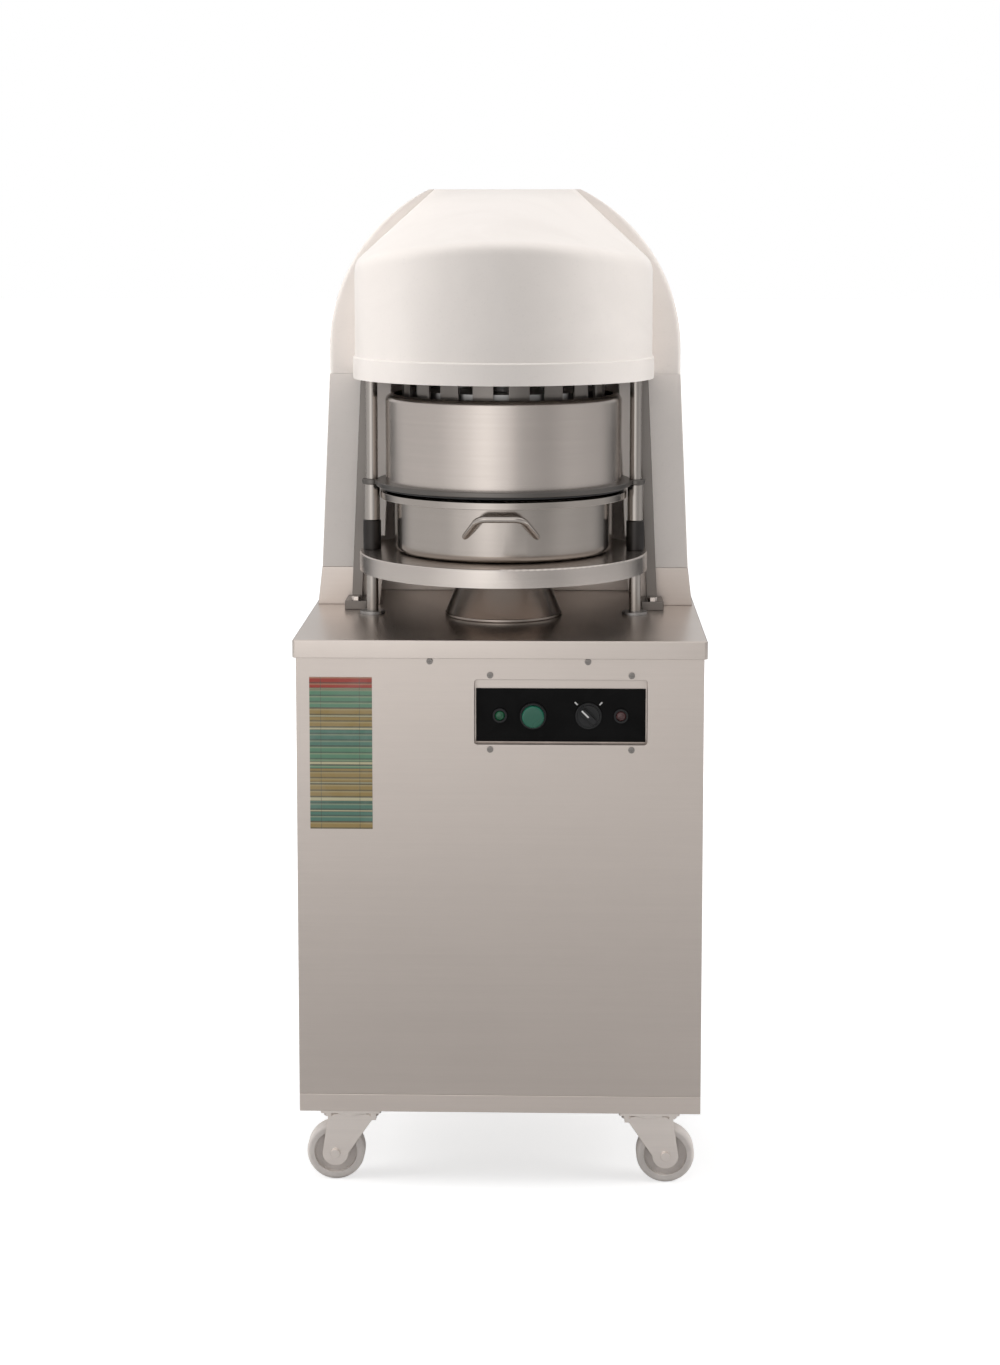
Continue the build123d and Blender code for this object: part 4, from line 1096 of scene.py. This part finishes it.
@dataclass
class Casters(SubAssembly):
    """Two swivelling front casters and two fixed rear ones."""

    dresses: tuple[Dress, ...] = (
        Dress("caster_plates", "zinc_steel", 0.4 * MM),
        Dress("rear_forks", "zinc_steel", 0.6 * MM),
        Dress("caster_bolts", "zinc_steel", 0.3 * MM),
        Dress("front_left_fork", "zinc_steel", 0.6 * MM),
        Dress("front_right_fork", "zinc_steel", 0.6 * MM),
        Dress("front_left_wheel", "wheel_grey", 0.8 * MM, 3),
        Dress("front_right_wheel", "wheel_grey", 0.8 * MM, 3),
        Dress("rear_left_wheel", "wheel_grey", 0.8 * MM, 3),
        Dress("rear_right_wheel", "wheel_grey", 0.8 * MM, 3),
    )


@dataclass
class Table(SubAssembly):
    """Pedestal, table disc, dough pan and the fixed drum above it."""

    dresses: tuple[Dress, ...] = (
        Dress("table_disc", "disc_steel", 2.0 * MM, 3),
        Dress("rod_housings", "blued_steel", 0.8 * MM, 3),
        Dress("rod_sleeves", "rod_steel", 0.5 * MM),
        Dress("drum_shell", "drum_steel", 0.6 * MM),
        Dress("drum_flange", "flange_steel", 1.5 * MM, 3),
        Dress("drum_seal", "seal_rubber", 0.6 * MM),
        Dress("pan", "pan_steel", 0.7 * MM, 3),
        Dress("pan_handle", "pan_steel", 0.5 * MM),
    )
    neck_radius: float = 56.0 * MM
    foot_height: float = 5.0 * MM
    flare_height: float = 58.0 * MM
    edge_round: float = 1.2 * MM

    def add_details(self) -> None:
        """Turn the pedestal in one piece: foot, flare and neck."""
        low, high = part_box("pedestal")
        foot = high.x
        profile = [
            (0.0, low.z),
            (foot - self.edge_round, low.z),
            (foot, low.z + self.edge_round),
            (foot, low.z + self.foot_height - self.edge_round),
            (foot - self.edge_round, low.z + self.foot_height),
            (self.neck_radius, low.z + self.flare_height),
            (self.neck_radius, high.z),
            (0.0, high.z),
        ]
        shape = spun(profile, LATHE_STEPS)
        pedestal = self.workshop.finished(shape, "pedestal_turned", "pedestal", "pedestal_steel")
        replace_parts(pedestal, "pedestal")


@dataclass
class KnifeHead(SubAssembly):
    """Lifting head: crosshead, pull rods, knife basket, press plate and its spring."""

    dresses: tuple[Dress, ...] = (
        Dress("crosshead", "mill_steel", 0.8 * MM),
        Dress("pull_rods", "rod_steel", 0.4 * MM),
        Dress("rod_nuts", "zinc_steel", 0.4 * MM),
        # The cutter ring's darker steel paints the shade it sits in under the hood.
        Dress("cutter_ring", "shaded_blade_steel", 0.3 * MM),
        Dress("ring_knives", "panel_sheet", 0.0),
        Dress("radial_blades", "panel_sheet", 0.0),
        Dress("cutter_carrier", "mill_steel", 0.4 * MM),
        Dress("head_columns", "mill_steel", 0.4 * MM),
        Dress("lower_yoke", "mill_steel", 0.8 * MM),
        Dress("rack", "mill_steel", 0.2 * MM),
        Dress("press_carrier", "mill_steel", 0.5 * MM),
        Dress("press_segments", "pan_steel", 0.4 * MM),
    )
    spring_anchor_z: float = 1.126
    spring_keep: float = 0.63

    def add_details(self) -> None:
        """Dress the spring and give it a mesh of its own."""
        spring = self.workshop.refine(Dress("press_spring", "spring_steel", 0.0))
        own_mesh(spring)


@dataclass
class Drive(SubAssembly):
    """Motor, worm gearbox, pinion and the rails that carry them."""

    dresses: tuple[Dress, ...] = (
        Dress("drive_rails", "mill_steel", 0.6 * MM),
        Dress("gearbox", "iron_paint", 1.0 * MM),
        Dress("motor", "iron_paint", 0.8 * MM),
        Dress("pinion", "mill_steel", 0.2 * MM),
    )


@dataclass(frozen=True)
class ArchStep:
    """One step of the arched outline: its point, its outward way and how far its edge is rounded there."""

    point: Vector
    way: Vector
    rounding: float

    def mirrored(self) -> "ArchStep":
        """Same step on the other side."""
        flip = Matrix.Scale(-1.0, 3, (1.0, 0.0, 0.0))
        return ArchStep(flip @ self.point, flip @ self.way, self.rounding)


@dataclass
class HoodShell:
    """White hood: a round nose over the drum, a sloping roof and an arched back with flat shoulders."""

    workshop: Workshop
    low: Vector = field(default_factory=lambda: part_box("hood")[0])
    high: Vector = field(default_factory=lambda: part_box("hood")[1])
    wall: float = 2.5 * MM
    lip_proud: float = 2.5 * MM
    lip_height: float = 29.0 * MM
    lip_step: float = 2.0 * MM
    nose_half: float = 197.0 * MM
    shoulder_y: float = 75.0 * MM
    crest_half: float = 95.0 * MM
    crown_cut: float = 23.0 * MM
    corner_drop: float = 97.0 * MM
    brow_rise: float = 25.0 * MM
    brow_round: float = 14.0 * MM
    edge_round: float = 6.0 * MM
    edge_fade: float = 0.35
    nose_steps: int = 56
    arch_steps: int = 24
    round_steps: int = 5
    roof_steps: int = 4

    def build(self) -> None:
        """Loft the nose and the arch, close the shoulders and the back, and give the sheet its thickness."""
        shape = bmesh.new()
        nose = loft(shape, [list(row) for row in zip(*self.nose_columns())])
        arch = loft(shape, self.arch_rows())
        foot = self.arch_steps + 2
        shape.faces.new(arch[0][:foot] + [row[0] for row in reversed(nose)])
        shape.faces.new(arch[0][-foot:] + [row[-1] for row in nose])
        shape.faces.new(arch[-1])
        piece = self.workshop.finished(shape, "hood_shell", "hood", "white_paint")
        self.sharpen(piece.data)
        sheet = piece.modifiers.new("sheet", "SOLIDIFY")
        sheet.thickness = self.wall
        sheet.offset = -1.0
        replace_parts(piece, "hood")

    def turns(self) -> list[float]:
        """Angles round the nose, from the left side over the front to the right side."""
        return [math.pi * (step / self.nose_steps - 0.5) for step in range(self.nose_steps + 1)]

    def rounding(self) -> list[float]:
        """Shares of the way round a rounded edge, from its start to its end."""
        return [step / self.round_steps for step in range(self.round_steps + 1)]

    def plan(self, grow: float) -> list[Vector]:
        """Outline of the nose from the left shoulder round the front to the right shoulder.

        Args:
            grow: How far it stands out.

        Returns:
            Points on the ground.
        """
        half = self.nose_half + grow
        depth = -self.low.y - self.lip_proud + grow
        round_front = [Vector((half * math.sin(turn), -depth * math.cos(turn), 0.0)) for turn in self.turns()]
        return [Vector((-half, self.shoulder_y, 0.0)), *round_front, Vector((half, self.shoulder_y, 0.0))]

    def nose_columns(self) -> list[list[Vector]]:
        """Lines from the lip up the wall, round the brow and over the roof to the crest.

        Returns:
            The points of the line over each point of the plan.
        """
        columns = []
        depth = -self.low.y - self.lip_proud
        lip_top = self.low.z + self.lip_height
        for foot, lip in zip(self.plan(0.0), self.plan(self.lip_proud)):
            ahead = max(-foot.y / depth, 0.0)
            brow = foot + Vector((0.0, 0.0, self.high.z - self.corner_drop + self.brow_rise * ahead**2))
            crest = Vector((foot.x * self.crest_half / self.nose_half, self.shoulder_y, self.high.z))
            below = brow - Vector((0.0, 0.0, self.brow_round))
            above = brow + (crest - brow).normalized() * self.brow_round
            column = [lip + Vector((0.0, 0.0, level)) for level in (self.low.z, lip_top - self.lip_step)]
            column.append(foot + Vector((0.0, 0.0, lip_top)))
            for share in self.rounding():
                column.append(below.lerp(brow, share).lerp(brow.lerp(above, share), share))
            column.extend(above.lerp(crest, (step + 1) / self.roof_steps) for step in range(self.roof_steps))
            columns.append(column)
        return columns

    def arch_outline(self) -> list[ArchStep]:
        """Outline of the arched back.

        Returns:
            Its steps from the left foot over the crest to the right foot.
        """
        half = self.high.x - self.lip_proud
        spring = Vector((0.0, 0.0, self.high.z + self.crown_cut - half))
        end = math.asin((self.high.z - spring.z) / half)
        right = [ArchStep(Vector((half, 0.0, self.low.z)), Vector((1.0, 0.0, 0.0)), self.edge_round)]
        for step in range(self.arch_steps + 1):
            turn = end * step / self.arch_steps
            way = Vector((math.cos(turn), 0.0, math.sin(turn)))
            fade = min(1.0, (end - turn) / self.edge_fade)
            right.append(ArchStep(spring + way * half, way, self.edge_round * fade))
        up = Vector((0.0, 0.0, 1.0))
        across = [self.crest_half * math.sin(turn) for turn in self.turns()]
        crest = [ArchStep(Vector((x, 0.0, self.high.z)), up, 0.0) for x in across]
        return [step.mirrored() for step in right] + crest + right[::-1]

    def arch_rows(self) -> list[list[Vector]]:
        """Rows of the arched sheet, with both its edges rounded.

        Returns:
            The points of each row, from the shoulders to the back.
        """
        edges = [(self.shoulder_y, (1.0 - share)**2, share**2) for share in self.rounding()]
        edges += [(self.high.y, share**2, -(1.0 - share)**2) for share in self.rounding()]
        steps = self.arch_outline()
        rows = []
        for edge, inward, along in edges:
            rows.append([
                step.point - step.way * step.rounding * inward
                + Vector((0.0, edge + step.rounding * along, 0.0)) for step in steps
            ])
        return rows

    def sharpen(self, mesh: bpy.types.Mesh) -> None:
        """Keep the many-sided flat faces flat, by sharp edges round them.

        Args:
            mesh: Mesh of the hood.
        """
        for face in mesh.polygons:
            if len(face.vertices) > 4:
                for corner in face.loop_indices:
                    mesh.edges[mesh.loops[corner].edge_index].use_edge_sharp = True


@dataclass
class Housing(SubAssembly):
    """Posts, head plate, white hood, white rear cover and its plinth."""

    dresses: tuple[Dress, ...] = (
        Dress("posts", "post_steel", 0.8 * MM),
        Dress("post_bolts", "zinc_steel", 0.4 * MM),
        Dress("head_plate", "mill_steel", 0.6 * MM),
        Dress("rear_cover", "white_paint", 1.0 * MM, 3),
        Dress("rear_plinth", "panel_sheet", 0.6 * MM),
    )

    def add_details(self) -> None:
        """Fold the hood from its own sheets."""
        HoodShell(self.workshop).build()


@dataclass(frozen=True)
class SoftBox:
    """One soft light: where it hangs, the height that it faces, its width and height, and its watts."""

    name: str
    at: Point
    aim_height: float
    size: Pair
    watts: float


@dataclass
class Studio:
    """Camera, soft lights, pale floor and white surroundings."""

    eye: Point = (0.073, -3.091, 1.2263)
    pitch_down: float = math.radians(6.0)
    turn_left: float = math.radians(1.44)
    focal_pixels: float = 2329.0
    picture_height: float = 1365.0
    sensor: float = 36.0
    shift_up: float = -0.15
    fill_level: float = 0.34
    floor_half: float = 40.0
    floor_tone: float = 0.55
    floor_rough: float = 0.9
    floor_gloss: float = 0.1
    floor_glow: float = 0.64
    floor_sheen: float = 0.40
    floor_reach: Pair = (0.9, 2.6)
    soft_boxes: tuple[SoftBox, ...] = (
        SoftBox("left_box", (-3.0, -0.60, 1.6), 0.9, (1.2, 2.2), 63.0),
        SoftBox("right_box", (3.0, -0.60, 1.6), 0.9, (1.2, 2.2), 57.0),
        SoftBox("top_box", (-0.3, -0.3, 3.3), 0.8, (2.2, 2.2), 29.0),
        SoftBox("back_box", (0.4, 3.2, 1.5), 0.8, (2.4, 1.6), 34.0),
    )
    tent_radius: float = 3.7
    tent_height: float = 3.2
    tent_steps: int = 72
    tent_back: Pair = (108.0, 140.0)
    tent_shade: Pair = (0.75, 1.3)
    tent_dark: float = 0.12
    tent_levels: tuple[Pair, ...] = (
        (-180.0, 0.80), (-112.0, 0.72), (-62.0, 0.74), (-42.0, 1.00), (-15.0, 1.50), (2.0, 1.14),
        (18.0, 0.58), (42.0, 0.46), (66.0, 0.62), (100.0, 0.56), (120.0, 0.50), (180.0, 0.80),
    )

    def build(self) -> None:
        """Set up the whole studio."""
        bpy.context.scene.view_settings.view_transform = "Standard"
        self.add_camera()
        self.add_world()
        self.add_floor()
        for box in self.soft_boxes:
            self.add_light(box)
        self.add_tent()

    def add_camera(self) -> None:
        """Stand the camera at the viewing angle."""
        data = bpy.data.cameras.new("camera")
        data.sensor_width = self.sensor
        data.lens = self.focal_pixels * self.sensor / self.picture_height
        data.shift_y = self.shift_up
        camera = stood("camera", data)
        camera.location = self.eye
        camera.rotation_euler = (math.pi / 2.0 - self.pitch_down, 0.0, self.turn_left)
        bpy.context.scene.camera = camera

    def add_world(self) -> None:
        """Fill the surroundings with white that lights the object only softly."""
        world = bpy.data.worlds.new("white_room")
        world.use_nodes = True
        bpy.context.scene.world = world
        background = next(node for node in world.node_tree.nodes if node.type == "BACKGROUND")
        set_values(background, Color=WHITE)
        tree = Tree(world.node_tree)
        path = tree.add("LightPath").outputs
        seen = tree.math("MAXIMUM", path["Is Camera Ray"], path["Is Glossy Ray"])
        seen = tree.math("MAXIMUM", seen, path["Is Transmission Ray"])
        tree.join(background.inputs["Strength"], tree.ramp(seen, 0.0, 1.0, self.fill_level, 1.0))

    def add_floor(self) -> None:
        """Lay a pale floor that keeps the object's shadow."""
        material, tree, shader = new_material("floor_white")
        grey = (self.floor_tone, self.floor_tone, self.floor_tone)
        set_values(shader, Base_Color=rgba(grey), Roughness=self.floor_rough,
                   Specular_IOR_Level=self.floor_gloss, Emission_Color=WHITE)
        path = tree.add("LightPath").outputs
        mirrored = tree.math("MAXIMUM", path["Is Glossy Ray"], path["Is Transmission Ray"])
        reach = tree.length(tree.add("TexCoord").outputs["Object"])
        paling = tree.ramp(reach, *self.floor_reach, self.floor_glow, 1.0)
        sheen = tree.ramp(reach, *self.floor_reach, 0.0, self.floor_sheen)
        glow = tree.math("ADD", tree.times(path["Is Camera Ray"], paling), tree.times(mirrored, sheen))
        tree.join(shader.inputs["Emission Strength"], glow)
        shape = bmesh.new()
        bmesh.ops.create_grid(shape, x_segments=1, y_segments=1, size=self.floor_half)
        floor = stood("floor", written(shape, bpy.data.meshes.new("floor")))
        floor.data.materials.append(material)

    def add_light(self, box: SoftBox) -> None:
        """Hang one soft box.

        Args:
            box: The light.
        """
        data = bpy.data.lights.new(box.name, "AREA")
        data.shape = "RECTANGLE"
        data.size, data.size_y = box.size
        data.energy = box.watts
        light = stood(box.name, data)
        light.location = box.at
        aim = Vector((0.0, 0.0, box.aim_height)) - Vector(box.at)
        light.rotation_euler = aim.to_track_quat("-Z", "Y").to_euler()
        light.visible_glossy = False

    def add_tent(self) -> None:
        """Stand a round light tent that only shows in reflections, brightest to the left of the camera."""
        wall = [(self.tent_radius, 0.0), (self.tent_radius, self.tent_height)]
        tent = stood("light_tent", written(spun(wall, self.tent_steps), bpy.data.meshes.new("light_tent")))
        tent.data.materials.append(self.tent_material())
        tent.visible_camera = False
        tent.visible_diffuse = False
        tent.visible_shadow = False
        tent.visible_transmission = False

    def tent_material(self) -> Material:
        """Glow of the tent, by the angle to the right of straight ahead, dark low down at the back.

        Returns:
            The material.
        """
        material, tree, shader = new_material("tent_glow")
        set_values(shader, Base_Color=BLACK, Specular_IOR_Level=0.0, Emission_Color=WHITE)
        parts = tree.add("SeparateXYZ", Vector=tree.add("TexCoord").outputs["Object"]).outputs
        angle = tree.math("ARCTAN2", parts["X"], tree.times(parts["Y"], -1.0))
        level: object = self.tent_levels[0][1]
        for (low, here), (high, there) in zip(self.tent_levels, self.tent_levels[1:]):
            step = tree.ramp(angle, math.radians(low), math.radians(high), 0.0, there - here)
            level = tree.math("ADD", step, level)
        behind = tree.ramp(tree.math("ABSOLUTE", angle), *(math.radians(turn) for turn in self.tent_back))
        shade = tree.ramp(parts["Z"], *self.tent_shade, 1.0 - self.tent_dark, 0.0)
        kept = tree.math("SUBTRACT", 1.0, tree.times(behind, shade))
        tree.join(shader.inputs["Emission Strength"], tree.times(level, kept))
        return material


def main() -> None:
    """Build every sub-assembly in order, then the studio."""
    logging.basicConfig(level=logging.INFO, format="%(name)s %(message)s")
    workshop = Workshop(FINISHES)
    for kind in (Cabinet, ControlPanel, BandChart, Casters, Table, KnifeHead, Drive, Housing):
        log.info("sub-assembly %s", kind.__name__)
        kind(workshop).build()
    Studio().build()


if __name__ == "__main__":
    main()
